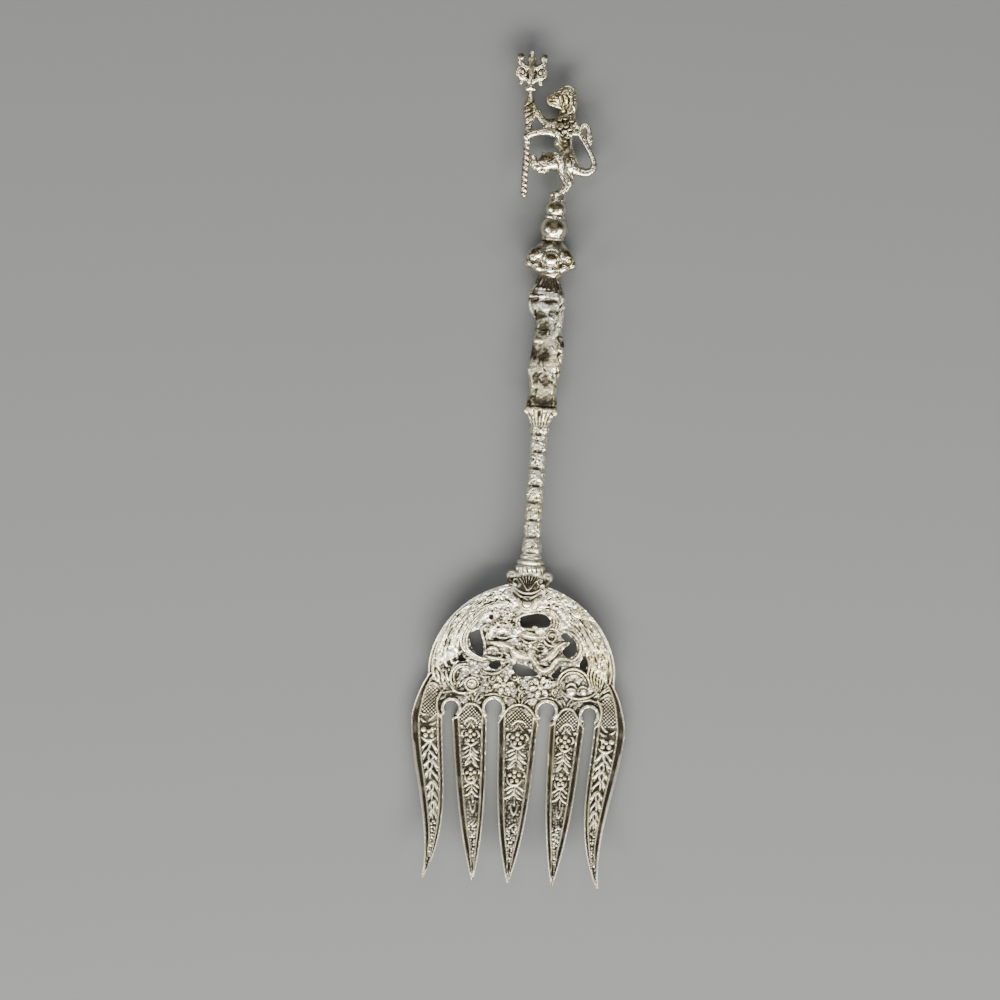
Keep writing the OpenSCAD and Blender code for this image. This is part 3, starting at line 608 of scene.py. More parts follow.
@dataclass
class TineChasing:
    """Border lines, berries, leaves and grains down the five tines."""

    form: HeadForm
    floor: float = 1.0
    border: Border = field(default_factory=Border)
    bands: tuple[tuple[float, float], ...] = ((1.95, 1.0), (1.6, 1.1), (1.6, 1.3), (1.3, 1.5), (1.05, 1.95))

    def band(self, tine: int, side: int, y: np.ndarray) -> np.ndarray:
        """Distance from a tine's edge to its ridge; the outer bands narrow up the shoulders."""
        w = np.full(np.shape(y), self.bands[tine][side])
        if (tine, side) in ((0, 0), (4, 1)):
            w = w - 0.75 * eased(y, 47.0, 59.0) - 0.8 * (1 - eased(y, 6.0, 34.0))
        else:
            w = w - 0.25 * (1 - eased(y, 6.0, 34.0))
        return w

    def lip(self, tine: int, side: int, y: np.ndarray) -> np.ndarray:
        """Width of the bright lip; it widens down the outer sides of the outer tines."""
        if (tine, side) in ((0, 0), (4, 1)):
            return 0.3 + 0.38 * (1 - eased(y, 38.5, 40.5)) - 0.26 * (1 - eased(y, 10.0, 26.0))
        return np.full(np.shape(y), 0.34)

    def owned(self, tine: int, x: np.ndarray, y: np.ndarray) -> np.ndarray:
        """Where a tine's ground lies, its panel's top between the slots' rings included."""
        top = self.form.tine_len
        left = x - self.form.edge(tine, 0, y)
        right = self.form.edge(tine, 1, y) - x
        inside = (left > -0.5) & (right > -0.5)
        if tine in (0, 4):
            outward, inward = (left, right) if tine == 0 else (right, left)
            side = 0 if tine == 0 else 1
            rim = (outward < self.band(tine, side, y) + 0.74) & (y < 60.2)
            high = rim | ((y < 55.8) & (np.abs(x) > 24.6)) | ((y < 49.0) & (inward < 1.9))
        else:
            cx = (self.form.edge(tine, 0, top) + self.form.edge(tine, 1, top)) / 2
            high = (y < 51.6 - 0.85 * np.abs(x - cx)) | ((y < 49.0) & (np.minimum(left, right) < 2.3))
        return inside & ((y <= top + 1e-6) | high)

    def ground(self, tine: int, x: np.ndarray, y: np.ndarray) -> tuple[np.ndarray, np.ndarray, np.ndarray]:
        """Thickness of a tine with its lips, channels and ridges.

        Args:
            tine: Number of the tine from the left.
            x: Places across.
            y: Places along.

        Returns:
            The thickness over the back, its painted highlight, and the panel's strength from 0 to 1.
        """
        left = x - self.form.edge(tine, 0, y)
        right = self.form.edge(tine, 1, y) - x
        whole = np.maximum(left + right, 0.05)
        wl, wr = self.band(tine, 0, y), self.band(tine, 1, y)
        k = np.clip(whole / (wl + wr + 2.2), 0.1, 1.0)
        thick_l, shine_l, panel_l = self.border.profile(left / k, wl, left, self.lip(tine, 0, y))
        thick_r, shine_r, panel_r = self.border.profile(right / k, wr, right, self.lip(tine, 1, y))
        near = left < right
        out = np.where(near, thick_l, thick_r)
        solid = 1 - eased(y, 1.6, 3.0)
        out = np.maximum(out, 1.3 * solid)
        # Painted highlight: the solid tip is kept bright too.
        shine = np.maximum(np.maximum(shine_l, shine_r), solid)
        thin = np.clip(0.62 + y / 26, 0, 1)
        return out * thin, shine, panel_l * panel_r * eased(y, 4.0, 7.0)

    def spine(self, tine: int, y: float) -> float:
        """Middle of a tine's panel."""
        wl, wr = (float(self.band(tine, side, np.float64(y))) for side in (0, 1))
        return (float(self.form.edge(tine, 0, y)) + wl + float(self.form.edge(tine, 1, y)) - wr) / 2

    def half(self, tine: int, y: float) -> float:
        """Half the width of a tine's panel inside its ridges."""
        wl, wr = (float(self.band(tine, side, np.float64(y))) for side in (0, 1))
        return (float(self.form.edge(tine, 1, y)) - float(self.form.edge(tine, 0, y)) - wl - wr) / 2 - 0.55

    def drawn(self, tine: int, points: Path) -> list[Point]:
        """A path of the middle tine, fitted to another tine's panel."""
        out = []
        for x, y in points:
            fit = self.half(tine, y) / self.half(2, y)
            out.append((self.spine(tine, y) + (x - 0.1) * fit, y))
        return out

    def inner(self, work: Relief, tine: int, rise: float) -> None:
        """Ornament of the three middle tines, from the shoulder to the tip."""
        strokes = (
            (((-2.2, 45.3), (-1.3, 46.8), (0.2, 47.5), (1.8, 47.0), (2.7, 45.7)), 0.42, 1.0),
            (((0.0, 46.4), (-0.6, 45.3), (-1.4, 44.4)), 0.3, 0.9),
            (((0.2, 46.3), (0.9, 45.4), (1.6, 44.7)), 0.3, 0.9),
            (((-3.9, 45.1), (-3.2, 44.9), (-2.6, 44.9)), 0.34, 0.9),
            (((2.9, 44.9), (3.5, 44.9), (4.1, 45.1)), 0.34, 0.9),
            (((-1.9, 41.3), (-1.3, 40.0), (0.2, 39.3), (1.6, 39.9), (2.6, 40.8)), 0.42, 1.0),
            (((-1.6, 43.5), (-2.6, 43.4), (-3.1, 42.4), (-2.3, 41.5)), 0.34, 0.9),
            (((1.8, 43.7), (2.8, 43.4), (3.2, 42.4), (2.5, 41.6)), 0.34, 0.9),
            (((-0.3, 38.9), (-1.6, 38.6), (-2.9, 37.8)), 0.42, 1.0),
            (((-0.2, 38.0), (-1.2, 37.6), (-2.2, 36.8)), 0.32, 0.8),
            (((0.1, 37.6), (-0.9, 36.3), (-2.9, 35.6)), 0.4, 1.0),
            (((0.6, 38.8), (1.5, 37.9), (2.9, 37.1)), 0.4, 0.9),
            (((0.4, 37.8), (1.3, 36.9), (2.4, 36.0)), 0.3, 0.8),
            (((0.3, 37.2), (1.4, 35.9), (3.2, 34.9)), 0.42, 1.0),
            (((0.1, 39.2), (0.05, 37.4), (0.1, 35.4)), 0.26, 0.8),
            (((-0.1, 36.0), (-1.1, 34.9), (-2.2, 33.6)), 0.36, 0.9),
            (((0.0, 34.8), (-1.0, 33.9), (-2.6, 33.0)), 0.36, 1.0),
            (((0.4, 35.8), (1.3, 34.6), (2.2, 33.6)), 0.34, 0.9),
            (((0.3, 34.6), (1.4, 33.7), (2.9, 32.8)), 0.38, 1.0),
            (((-2.4, 30.6), (-1.8, 29.0), (-0.2, 28.2), (1.4, 28.9), (2.3, 30.3)), 0.42, 1.0),
            (((-2.7, 32.3), (-3.0, 31.4), (-2.7, 30.6)), 0.3, 0.8),
            (((2.5, 32.5), (3.0, 31.7), (2.7, 30.9)), 0.3, 0.8),
            (((-0.2, 28.2), (-1.5, 27.6), (-2.9, 26.8)), 0.4, 1.0),
            (((0.0, 27.3), (-1.0, 26.6), (-2.0, 25.7)), 0.32, 0.8),
            (((0.1, 26.6), (-0.8, 25.1), (-2.8, 24.2)), 0.42, 1.0),
            (((0.5, 28.2), (1.8, 27.6), (3.0, 26.8)), 0.38, 0.9),
            (((0.4, 27.2), (1.4, 26.3), (2.4, 25.5)), 0.32, 0.8),
            (((0.3, 25.9), (1.4, 24.7), (3.0, 24.1)), 0.42, 1.0),
            (((0.15, 28.1), (0.15, 25.2)), 0.26, 0.8),
            (((-0.9, 22.9), (-0.4, 21.0), (0.4, 19.7), (1.1, 21.0), (1.5, 23.2)), 0.36, 1.0),
            (((0.4, 25.0), (0.4, 22.2)), 0.26, 0.8),
            (((-0.9, 15.8), (0.0, 16.3), (1.3, 17.3)), 0.36, 1.0),
            (((-0.1, 12.4), (0.3, 13.9)), 0.3, 0.9),
        )
        berries = (
            (0.0, 43.5, 0.8), (1.4, 42.6, 0.68), (-1.35, 42.5, 0.68), (0.05, 41.9, 0.65), (-0.7, 40.7, 0.66),
            (0.95, 40.8, 0.68), (-0.1, 32.3, 0.74), (1.3, 31.4, 0.68), (-1.5, 31.2, 0.66), (-0.1, 30.8, 0.62),
            (-0.8, 29.5, 0.68), (0.75, 29.7, 0.68),
        )
        for points, width, share in strokes:
            work.stroke(self.drawn(tine, points), width, share * rise, per=4)
        fitted = [(*self.drawn(tine, [(x, y)])[0], r * (1.0 if tine == 2 else 0.92)) for x, y, r in berries]
        work.berries(fitted, 1.15 * rise)

    def outer(self, work: Relief, tine: int, rise: float) -> None:
        """Ornament of an outer tine: small leaves, berries and a long vine with open leaves."""
        side = -1 if tine == 0 else 1

        def at(across: float, y: float) -> Point:
            """A place at a share of the panel's half width, counted outwards."""
            return (self.spine(tine, y) + side * across * self.half(tine, y), y)

        for points, width in (
            (((0.95, 48.1), (0.5, 47.6), (0.2, 47.9)), 0.36),
            (((0.95, 46.6), (0.55, 45.6), (0.2, 45.4)), 0.36),
            (((-0.9, 48.2), (-0.4, 46.6), (0.0, 45.8)), 0.4),
            (((-0.95, 45.8), (-0.5, 44.9), (-0.1, 44.8)), 0.36),
            (((-0.9, 44.0), (-0.5, 43.0), (-0.6, 42.0)), 0.34),
            (((0.9, 40.9), (0.3, 39.9), (-0.3, 40.0), (-0.9, 41.0)), 0.42),
        ):
            work.stroke([at(*p) for p in points], width, rise)
        work.berries(
            [(*at(0.55, 43.1), 0.9), (*at(0.35, 41.4), 0.78), (*at(-0.05, 42.7), 0.7), (*at(-0.4, 41.4), 0.72),
             (*at(-0.45, 43.4), 0.6)],
            1.1 * rise,
        )
        nodes = (39.8, 37.3, 34.6, 31.6, 28.4, 25.4, 22.6, 20.0)
        for k, y in enumerate(nodes):
            lean = 0.12 if k % 2 else -0.12
            work.stroke([at(lean, y), at(lean - 0.4, y - 1.1), at(-0.98, y - 2.7)], 0.44, rise)
            work.stroke([at(lean, y), at(lean + 0.45, y - 0.9), at(0.98, y - 2.3)], 0.44, rise)
            if k in (1, 2, 4, 6):
                c, h = at(-lean, y - 1.9), self.half(tine, y - 1.9)
                loop = [(c[0] + 0.3 * h * math.cos(a), c[1] + 1.25 * math.sin(a)) for a in np.linspace(-1.2, 4.0, 10)]
                work.stroke(loop, 0.3, 0.9 * rise, Taper.NONE, per=2)
            else:
                work.stroke([at(lean, y - 0.4), at(lean + 0.1, y - 1.8), at(0.3 - lean, y - 3.2)], 0.34, 0.9 * rise)
            work.stroke([at(lean - 0.25, y - 0.9), at(-0.62, y - 2.1), at(-0.92, y - 3.7)], 0.26, 0.75 * rise)
            work.stroke([at(lean + 0.25, y - 0.7), at(0.6, y - 1.8), at(0.95, y - 3.3)], 0.26, 0.75 * rise)


@dataclass
class PanelChasing:
    """Scene, plumes, medallions and flowers on the arched plate."""

    form: HeadForm
    floor: float = 1.0

    def ground(self, x: np.ndarray, y: np.ndarray) -> tuple[np.ndarray, np.ndarray]:
        """Thickness and painted highlight of the plate with its outer border.

        Args:
            x: Places across.
            y: Places along.
        """
        ring = np.array(self.form.shoulder() + self.form.arch(0.03) + mirrored(self.form.shoulder()[::-1]))
        d = distance_to(ring, x, y)
        w = 0.78 + 0.42 * (1 - eased(y, 58.0, 64.0)) - 0.2 * eased(y, 76.0, 84.0)
        thick, shine, inside = Border(lip=1.15, channel=0.62, crest=1.45).profile(d, w)
        crown = eased(y, 62, 84)
        soft = softly(x, y, 0.9) + 0.8 * softly(x + 7, y, 0.4)
        thick = thick + inside * (0.3 * crown * eased(d, 1.5, 5.0) + 0.16 * soft)
        # Painted highlight on the border, weaker towards the crown.
        return thick, shine * (1 - 0.3 * crown)

    def plumes(self, work: Relief) -> None:
        """Plumes that sweep down both sides of the arch from its crown."""
        outer_l = ((-5.5, 86.6), (-11.5, 84.8), (-16.8, 81.2), (-21, 76.8), (-23.9, 71.6), (-25.2, 66.4), (-25.3, 62.2))
        inner_l = ((-3.4, 81.4), (-7.6, 82.2), (-12, 80.6), (-15.6, 77.4), (-17.9, 73.6), (-19.2, 69.6), (-19.6, 65.8))
        outer_r = ((5.5, 86.6), (11.5, 84.9), (17, 81.2), (21.2, 76.8), (24.2, 71.6), (25.7, 66.4), (25.8, 60.5))
        inner_r = ((5.6, 82.2), (9.6, 81.6), (12.2, 78.4), (14.6, 75.6), (17, 72.8), (18.6, 69.6), (20.4, 65.2))
        for pair in ((outer_l, inner_l), (outer_r, inner_r)):
            work.stroke(between(*pair, 0.42), 4.6, 0.5, Taper.BOTH, Crest.ROUND, level=self.floor)
            work.stroke(between(*pair, 0.3)[:4], 4.4, 0.55, Taper.BOTH, Crest.ROUND, level=self.floor)
        rng = np.random.default_rng(7)
        for k in range(11):
            share = 0.02 + 0.096 * k
            path = between(outer_l, inner_l, share)
            start = 1 if share < 0.75 else 0
            wave = rng.uniform(-0.25, 0.25, (len(path), 2))
            path = [(p[0] + w[0], p[1] + w[1]) for p, w in zip(path, wave)][start:]
            work.stroke(path, rng.uniform(0.36, 0.6), rng.uniform(0.42, 0.75), Taper.START, join=Join.ADD)
            if k % 2 == 0:
                cut = between(outer_l, inner_l, share + 0.048)[2:]
                work.stroke(cut, 0.22, 0.35, Taper.BOTH, Crest.SHARP, Join.CARVE)
        for k in range(10):
            share = 0.06 + 0.1 * k
            path = between(outer_r, inner_r, share)
            wave = rng.uniform(-0.25, 0.25, (len(path), 2))
            path = [(p[0] + w[0], p[1] + w[1]) for p, w in zip(path, wave)][2:]
            work.stroke(path, rng.uniform(0.36, 0.62), rng.uniform(0.42, 0.75), Taper.START, join=Join.ADD)
        for k in range(110):
            pair = (outer_l, inner_l) if k % 3 == 0 else (outer_r, inner_r)
            spot = curve(between(*pair, rng.uniform(-0.12, 0.95)), 8)
            i = int(rng.uniform(2, 20 if k % 3 else 12))
            a, b = spot[i], spot[i + 2]
            ahead = (b - a) / max(1e-6, float(np.hypot(*(b - a))))
            turn = math.radians(rng.choice((-1, 1)) * rng.uniform(24, 44))
            c, s = math.cos(turn), math.sin(turn)
            way = np.array((c * ahead[0] - s * ahead[1], s * ahead[0] + c * ahead[1])) * rng.uniform(0.8, 1.7)
            join = Join.CARVE if rng.random() < 0.5 else Join.ADD
            work.stroke([tuple(a - way / 2), tuple(a), tuple(a + way / 2)], 0.26, 0.36, join=join)
        for k in range(14):
            share = rng.uniform(0.05, 0.95)
            side = k % 2
            pair = (outer_l, inner_l) if side == 0 else (outer_r, inner_r)
            path = between(*pair, share)[: 3 if side == 0 else 4]
            work.stroke(path, 0.2, 0.14, Taper.BOTH, Crest.SHARP, Join.CARVE)
        work.stroke([(11.6, 81.2), (15, 81.9), (18.6, 81.1)], 0.28, 0.4, join=Join.CARVE)
        for k in range(150):
            pair = (outer_l, inner_l) if k % 2 == 0 else (outer_r, inner_r)
            spot = curve(between(*pair, rng.uniform(0.02, 0.98)), 8)
            i = int(rng.uniform(6 if k % 2 == 0 else 12, len(spot) - 4))
            a, b = spot[i], spot[min(i + 3, len(spot) - 1)]
            lean = rng.uniform(-0.7, 0.7, 2)
            join = Join.CARVE if rng.random() < 0.65 else Join.ADD
            work.stroke([tuple(a), tuple((a + b) / 2), tuple(b + lean)], rng.uniform(0.2, 0.34), rng.uniform(0.25, 0.5),
                        join=join)
        curls = (
            [(-23.2, 68.5), (-24.8, 65.6), (-24.9, 62.2), (-24.0, 60.6)],
            [(-21.6, 69.0), (-23.2, 65.8), (-22.6, 62.8), (-21.4, 62.4)],
            [(-19.9, 69.2), (-21.4, 66.2), (-20.8, 63.6), (-19.6, 64.0)],
            [(-26.1, 64.0), (-26.4, 60.8), (-25.2, 57.8)],
            [(-24.0, 61.5), (-23.4, 59.0), (-23.2, 57.2)],
            [(-25.6, 61.2), (-24.6, 59.2), (-24.4, 57.6)],
            [(-22.6, 61.8), (-22.2, 59.6), (-21.4, 57.8)],
        )
        for path in curls:
            work.stroke(path, 0.5, 1.0, level=self.floor)
        for k in range(6):
            x = 19.0 + 1.05 * k
            work.stroke([(x - 0.6, 69.5 - 0.3 * k), (x + 0.9, 65.6), (x + 0.7 - 0.1 * k, 61.6), (21.9 + 0.35 * k, 57.6)],
                        0.36, 0.95, level=self.floor)
        for k in range(7):
            y = 67.6 - 1.5 * k
            work.stroke([(20.0 + 0.25 * k, y + 0.4), (21.6 + 0.2 * k, y - 1.2), (23.8 + 0.05 * k, y - 1.9)],
                        0.26, 0.45, join=Join.ADD)

    def frame_lines(self, work: Relief) -> None:
        """Curved mouldings round the pierced openings."""
        f = self.floor
        for inset in (0.0, 0.95, 1.9):
            work.stroke(
                [(-9.5 - 0.2 * inset, 81.6 - 0.9 * inset), (-13.4 + 0.35 * inset, 79.3 - 0.55 * inset),
                 (-16.6 + 0.6 * inset, 75.6 - 0.35 * inset), (-18.5 + 0.85 * inset, 71.8),
                 (-18.2 + 0.8 * inset, 68.6), (-16.2 + 0.6 * inset, 66.2 + 0.35 * inset),
                 (-12.2 + 0.3 * inset, 64.6 + 0.45 * inset), (-7.4 + 0.4 * inset, 64.7 + 0.42 * inset)],
                0.42, 1.25 - 0.12 * inset, level=f)
        for inset in (0.0, 0.95, 1.9):
            work.stroke([(4.5, 80.3 + 0.5 * inset), (7.6 + 0.2 * inset, 79.9 + 0.5 * inset),
                         (8.4 + 0.9 * inset, 78.2 + 0.2 * inset), (8.6 + 0.85 * inset, 76.6),
                         (8.0 + 0.8 * inset, 75.2 - 0.2 * inset)], 0.42, 1.1, level=f)
        work.stroke([(4.6, 80.4), (2.0, 79.8), (-0.6, 79.2), (-2.3, 78), (-2.6, 76.4), (-2.0, 75)], 0.5, 1.1, level=f)
        work.stroke([(-3.2, 81.2), (-1.2, 80.4), (0.4, 80.2), (2.2, 80.8), (3.8, 81.8)], 0.55, 1.2, level=f)
        work.stroke([(11.4, 75.4), (13.6, 74.8), (15.8, 73.0), (16.9, 70.6), (16.6, 68.4), (15.2, 66.8),
                     (13.4, 66.6)], 0.5, 1.15, level=f)
        work.stroke([(12.4, 76.6), (15.2, 75.0), (17.4, 72.4), (18.0, 69.8)], 0.4, 1.0, level=f)
        work.stroke([(0.2, 75.0), (2.4, 74.9), (4.6, 74.9)], 0.3, 0.8, level=f)
        work.stroke([(0.4, 75.3), (1.6, 75.7), (2.9, 76.0)], 0.34, 1.1, level=f)

    def figures(self, work: Relief) -> None:
        """A reclining child and the sea beast that bears it."""
        f = self.floor
        rng = np.random.default_rng(3)
        for _ in range(34):
            x, y = rng.uniform(-10.8, -2.6), rng.uniform(76.7, 80.4)
            if math.hypot(x - PIERCED_DOT[0], y - PIERCED_DOT[1]) < 1.3:
                continue
            a = rng.uniform(0, 360)
            work.stroke(arc(x, y, 0.55, a, a + 210, 6), 0.22, 0.75, level=f + 0.15, per=2)
        work.dome(-6.4, 74.5, 3.0, 1.05, 0.86, 10, level=f, crest=Crest.SOFT)
        for x, y in ((-8.0, 73.7), (-5.0, 73.8)):
            work.dome(x, y, 0.8, 0.28, join=Join.ADD, crest=Crest.SOFT)
        for x, y, turn in ((-8.0, 76.2, 40), (-6.8, 76.8, 10), (-5.4, 76.7, -20), (-4.4, 75.9, -50)):
            a = math.radians(turn)
            work.stroke([(x - 0.6 * math.cos(a), y - 0.6 * math.sin(a)), (x, y + 0.2),
                         (x + 0.6 * math.cos(a), y + 0.6 * math.sin(a))], 0.26, 0.5, join=Join.ADD)
        for k in range(10):
            a = math.radians(8 + 19 * k)
            cx, cy = -6.4 + 3.3 * math.cos(a), 74.7 + 2.5 * math.sin(a)
            work.stroke(arc(cx, cy, 0.55, 40 * k, 40 * k + 250, 6), 0.25, 1.25, level=f, per=2)
        work.stroke([(-9.3, 71.9), (-6.4, 71.2), (-3.2, 72.2)], 0.5, 0.5, join=Join.CARVE)
        work.dome(4.7, 69.3, 1.9, 0.5, 0.8, 60, Join.CARVE)
        work.stroke([(-8.6, 76.0), (-7.0, 76.5), (-5.4, 76.0)], 0.3, 0.3, join=Join.CARVE)
        work.stroke([(-9.2, 73.2), (-7.6, 72.0), (-5.6, 71.9), (-4.0, 72.8)], 0.4, 1.2, level=f)
        for x in (-7.8, -5.2):
            work.dome(x, 75.0, 0.62, 0.75, 0.7, join=Join.CARVE)
            work.dome(x, 75.0, 0.28, 0.4, join=Join.ADD)
            work.stroke([(x - 0.8, 75.7), (x, 76.0), (x + 0.7, 75.7)], 0.24, 0.35, join=Join.ADD)
        work.stroke([(-6.5, 75.6), (-6.6, 74.2)], 0.34, 0.4, join=Join.ADD)
        work.stroke([(-7.4, 73.0), (-6.5, 72.8), (-5.6, 73.1)], 0.26, 0.6, join=Join.CARVE)
        work.stroke([(-10.4, 75.8), (-12.0, 75.2), (-12.8, 74.0), (-12.2, 71.6), (-11.4, 69.2), (-11.2, 67.2)],
                    0.5, 1.2, level=f)
        work.stroke([(-10.9, 73.8), (-11.2, 72), (-10.6, 70.9)], 0.36, 0.9, level=f)
        work.stroke([(-10.9, 70.4), (-8.6, 70.2), (-6.0, 69.9), (-3.6, 69.3), (-2.2, 68.2)], 1.35, 1.5,
                    crest=Crest.SOFT, level=f)
        work.stroke([(-10.2, 70.9), (-7.4, 70.9), (-4.8, 70.6)], 0.24, 0.35, join=Join.CARVE)
        work.stroke([(-11.2, 67.6), (-9.8, 68.7), (-8.2, 68.5), (-7.2, 67.6)], 0.55, 1.3, level=f)
        work.stroke([(-10.6, 67.4), (-9.6, 68.2), (-8.8, 67.4)], 0.3, 1.0, level=f)
        work.stroke(spiral(-7.0, 66.5, 1.25, 0.35, 190, -150, 12), 0.34, 1.15, level=f, per=2)
        work.stroke([(-6.2, 67.6), (-4.8, 67.2), (-3.6, 66.2)], 0.36, 1.1, level=f)
        work.dome(1.6, 73.0, 3.3, 1.6, 0.36, -8, level=f)
        work.stroke([(-1.6, 72.4), (1.4, 70.9), (5.0, 72.2)], 0.34, 0.9, level=f)
        for k in range(7):
            x, y = -1.4 + 0.5 * (k % 4), 71.8 - 0.75 * (k // 2)
            work.stroke(arc(x, y, 0.4, 70 * k, 70 * k + 230, 6), 0.2, 0.85, level=f, per=2)
        for k in range(6):
            x, y = 0.4 + 0.75 * k, 70.2 - 0.5 * (k % 3)
            work.stroke([(x - 0.5, y + 0.5), (x + 0.1, y - 0.2), (x + 0.7, y - 0.7)], 0.2, 0.6, level=f)
        work.stroke(
            [(-3.9, 69.4), (-2.2, 67.4), (0.2, 66.6), (2.4, 66.8), (3.6, 65.4), (4.9, 63.7), (6.6, 62.8), (8.7, 64.0),
             (10.6, 66.6), (12.8, 66.9), (15.6, 66.1)],
            1.25, 1.45, Taper.BOTH, Crest.SOFT, level=f)
        work.stroke([(-4.0, 69.4), (-2.0, 67.4), (0.6, 66.7), (3.2, 66.6)], 2.1, 1.8, crest=Crest.SOFT, level=f)
        work.dome(2.2, 67.6, 1.9, 1.75, 0.8, 60, level=f, crest=Crest.SOFT)
        work.stroke([(-11.6, 66.3), (-9.2, 65.8), (-6.6, 65.5), (-4.2, 65.6)], 0.5, 1.2, level=f)
        work.stroke([(3.6, 66.2), (5.0, 64.6), (7.0, 64.2), (8.6, 64.6)], 0.22, 0.5, join=Join.CARVE)
        work.ring(5.3, 68.0, 2.15, 0.36, 1.2, -110, 200)
        work.ring(5.2, 67.7, 1.15, 0.3, 0.9, -40, 260)
        work.dome(5.0, 67.3, 0.55, 1.1, level=f)
        work.stroke([(3.4, 69.6), (4.8, 70.8), (6.6, 70.4)], 0.3, 0.9, level=f)
        work.stroke([(4.9, 65.6), (6.9, 66.5), (8.6, 68.1), (10.2, 70.3), (11.7, 71.5), (13.3, 72.0)], 1.1, 1.6,
                    crest=Crest.SOFT, level=f)
        work.stroke([(7.2, 65.4), (9.4, 67.6), (11.0, 69.8)], 0.4, 1.1, level=f)
        work.stroke(spiral(8.3, 73.1, 2.0, 0.45, 30, 600, 26), 0.34, 1.25, level=f, per=2)
        work.stroke([(6.4, 75.2), (8.2, 75.6), (10.2, 74.8), (11.0, 73.4)], 0.4, 1.1, level=f)
        work.stroke([(5.8, 74.2), (5.6, 72.6), (6.8, 70.9), (8.8, 70.4), (10.2, 71.2)], 0.36, 1.0, level=f)
        for y in (77.9, 77.1, 76.2):
            work.stroke([(8.0, y), (9.2, y - 0.2), (10.4, y - 0.5)], 0.24, 0.5, join=Join.ADD)
        for path in (
            [(-3.0, 68.0), (-1.2, 66.9), (0.6, 66.3)], [(-2.2, 69.0), (-0.6, 68.0), (0.8, 67.8)],
            [(1.6, 68.4), (2.6, 67.2), (2.6, 65.9)], [(3.6, 65.6), (4.9, 64.2), (6.4, 63.3)],
            [(6.2, 66.5), (7.8, 67.8), (9.0, 69.4)], [(8.4, 64.2), (9.8, 65.6), (11.4, 66.4)],
            [(-9.2, 70.0), (-7.0, 69.8), (-5.0, 69.3)], [(-5.0, 70.2), (-3.6, 69.8), (-2.6, 69.0)],
            [(0.0, 67.1), (0.9, 66.9), (1.6, 67.4)], [(10.0, 70.9), (11.6, 71.9), (13.0, 72.3)],
        ):
            work.stroke(path, 0.26, 0.32, join=Join.CARVE)

    def garland(self, work: Relief) -> None:
        """Medallions, flowers and leaves along the foot of the arch."""
        f = self.floor
        for path, w, h in (
            (arc(-17.0, 59.3, 4.1, 60, 250), 0.46, 1.2),
            (arc(-17.0, 59.6, 3.1, 50, 240), 0.36, 1.0),
            (arc(-15.9, 60.0, 5.2, 75, 175), 0.34, 1.0),
            (arc(15.6, 59.2, 4.8, -5, 190), 0.46, 1.25),
            (arc(15.6, 59.2, 3.8, 5, 185), 0.36, 1.0),
            (arc(-14.6, 57.5, 2.0, -30, 330), 0.4, 1.3),
        ):
            work.stroke(path, w, h, level=f, per=2)
        work.dome(-14.6, 57.5, 1.5, 1.35, level=f)
        work.dome(-14.4, 57.3, 0.7, 0.3, join=Join.ADD)
        work.stroke([(-18.6, 56.2), (-17.4, 57.6), (-16.6, 59.2)], 0.4, 1.0, level=f)
        work.stroke([(-19.2, 58.4), (-18.2, 59.8), (-18.2, 61.2)], 0.3, 0.8, level=f)
        work.stroke([(13.2, 58.0), (14.4, 59.4), (15.8, 59.4), (16.7, 58.2)], 0.5, 1.45, level=f)
        work.stroke([(17.0, 58.2), (18.4, 59.0), (20.0, 58.4)], 0.42, 1.25, level=f)
        work.dome(15.1, 57.0, 1.6, 1.3, 0.9, level=f)
        work.dome(18.8, 57.1, 1.1, 1.0, level=f)
        work.stroke([(11.2, 59.0), (12.4, 57.2), (14.4, 55.8), (16.6, 55.2), (19.2, 55.5), (21.6, 56.6), (23.6, 59.2)],
                    0.42, 1.3, level=f)
        work.stroke([(-10.9, 58.8), (-12.2, 56.8), (-14.2, 55.2), (-16.6, 54.7), (-18.8, 54.8), (-20.6, 56.2),
                     (-22.6, 58.8), (-23.6, 60.8)], 0.42, 1.3, level=f)
        work.stroke([(-13.0, 62.6), (-10.4, 61.2), (-7.6, 61.2), (-5.2, 62.8), (-3.0, 65.0)], 0.4, 1.2, level=f)
        work.stroke([(-13.4, 60.6), (-11.0, 59.8), (-9.2, 60.2)], 0.32, 0.9, level=f)
        work.stroke([(5.4, 61.2), (7.4, 60.2), (9.2, 59.8), (10.6, 60.2)], 0.34, 1.0, level=f)
        for cx, cy, r in ((-5.1, 57.9, 2.7), (5.9, 57.9, 2.9)):
            work.dome(cx, cy, 0.35 * r, 1.3, level=f)
            for k in range(6):
                a = math.radians(60 * k + 12)
                c, s = math.cos(a), math.sin(a)
                work.dome(cx + 0.76 * r * c, cy + 0.76 * r * s, 0.45 * r, 1.0, 0.66, math.degrees(a), level=f)
                work.dome(cx + 0.8 * r * c, cy + 0.8 * r * s, 0.24 * r, 0.5, 0.5, math.degrees(a), Join.CARVE)
        for cx, cy, a in ((-2.0, 60.4, 200), (3.2, 58.8, -30), (0.3, 57.2, 90), (-9.2, 56.8, 150),
                          (10.4, 56.6, 20), (0.0, 59.6, 40), (8.6, 59.6, 60), (-8.6, 59.4, 120), (0.6, 55.0, 0)):
            work.stroke(arc(cx, cy, 0.95, a, a + 250, 8), 0.32, 1.05, level=f, per=2)
            work.dome(cx, cy, 0.45, 0.9, level=f)

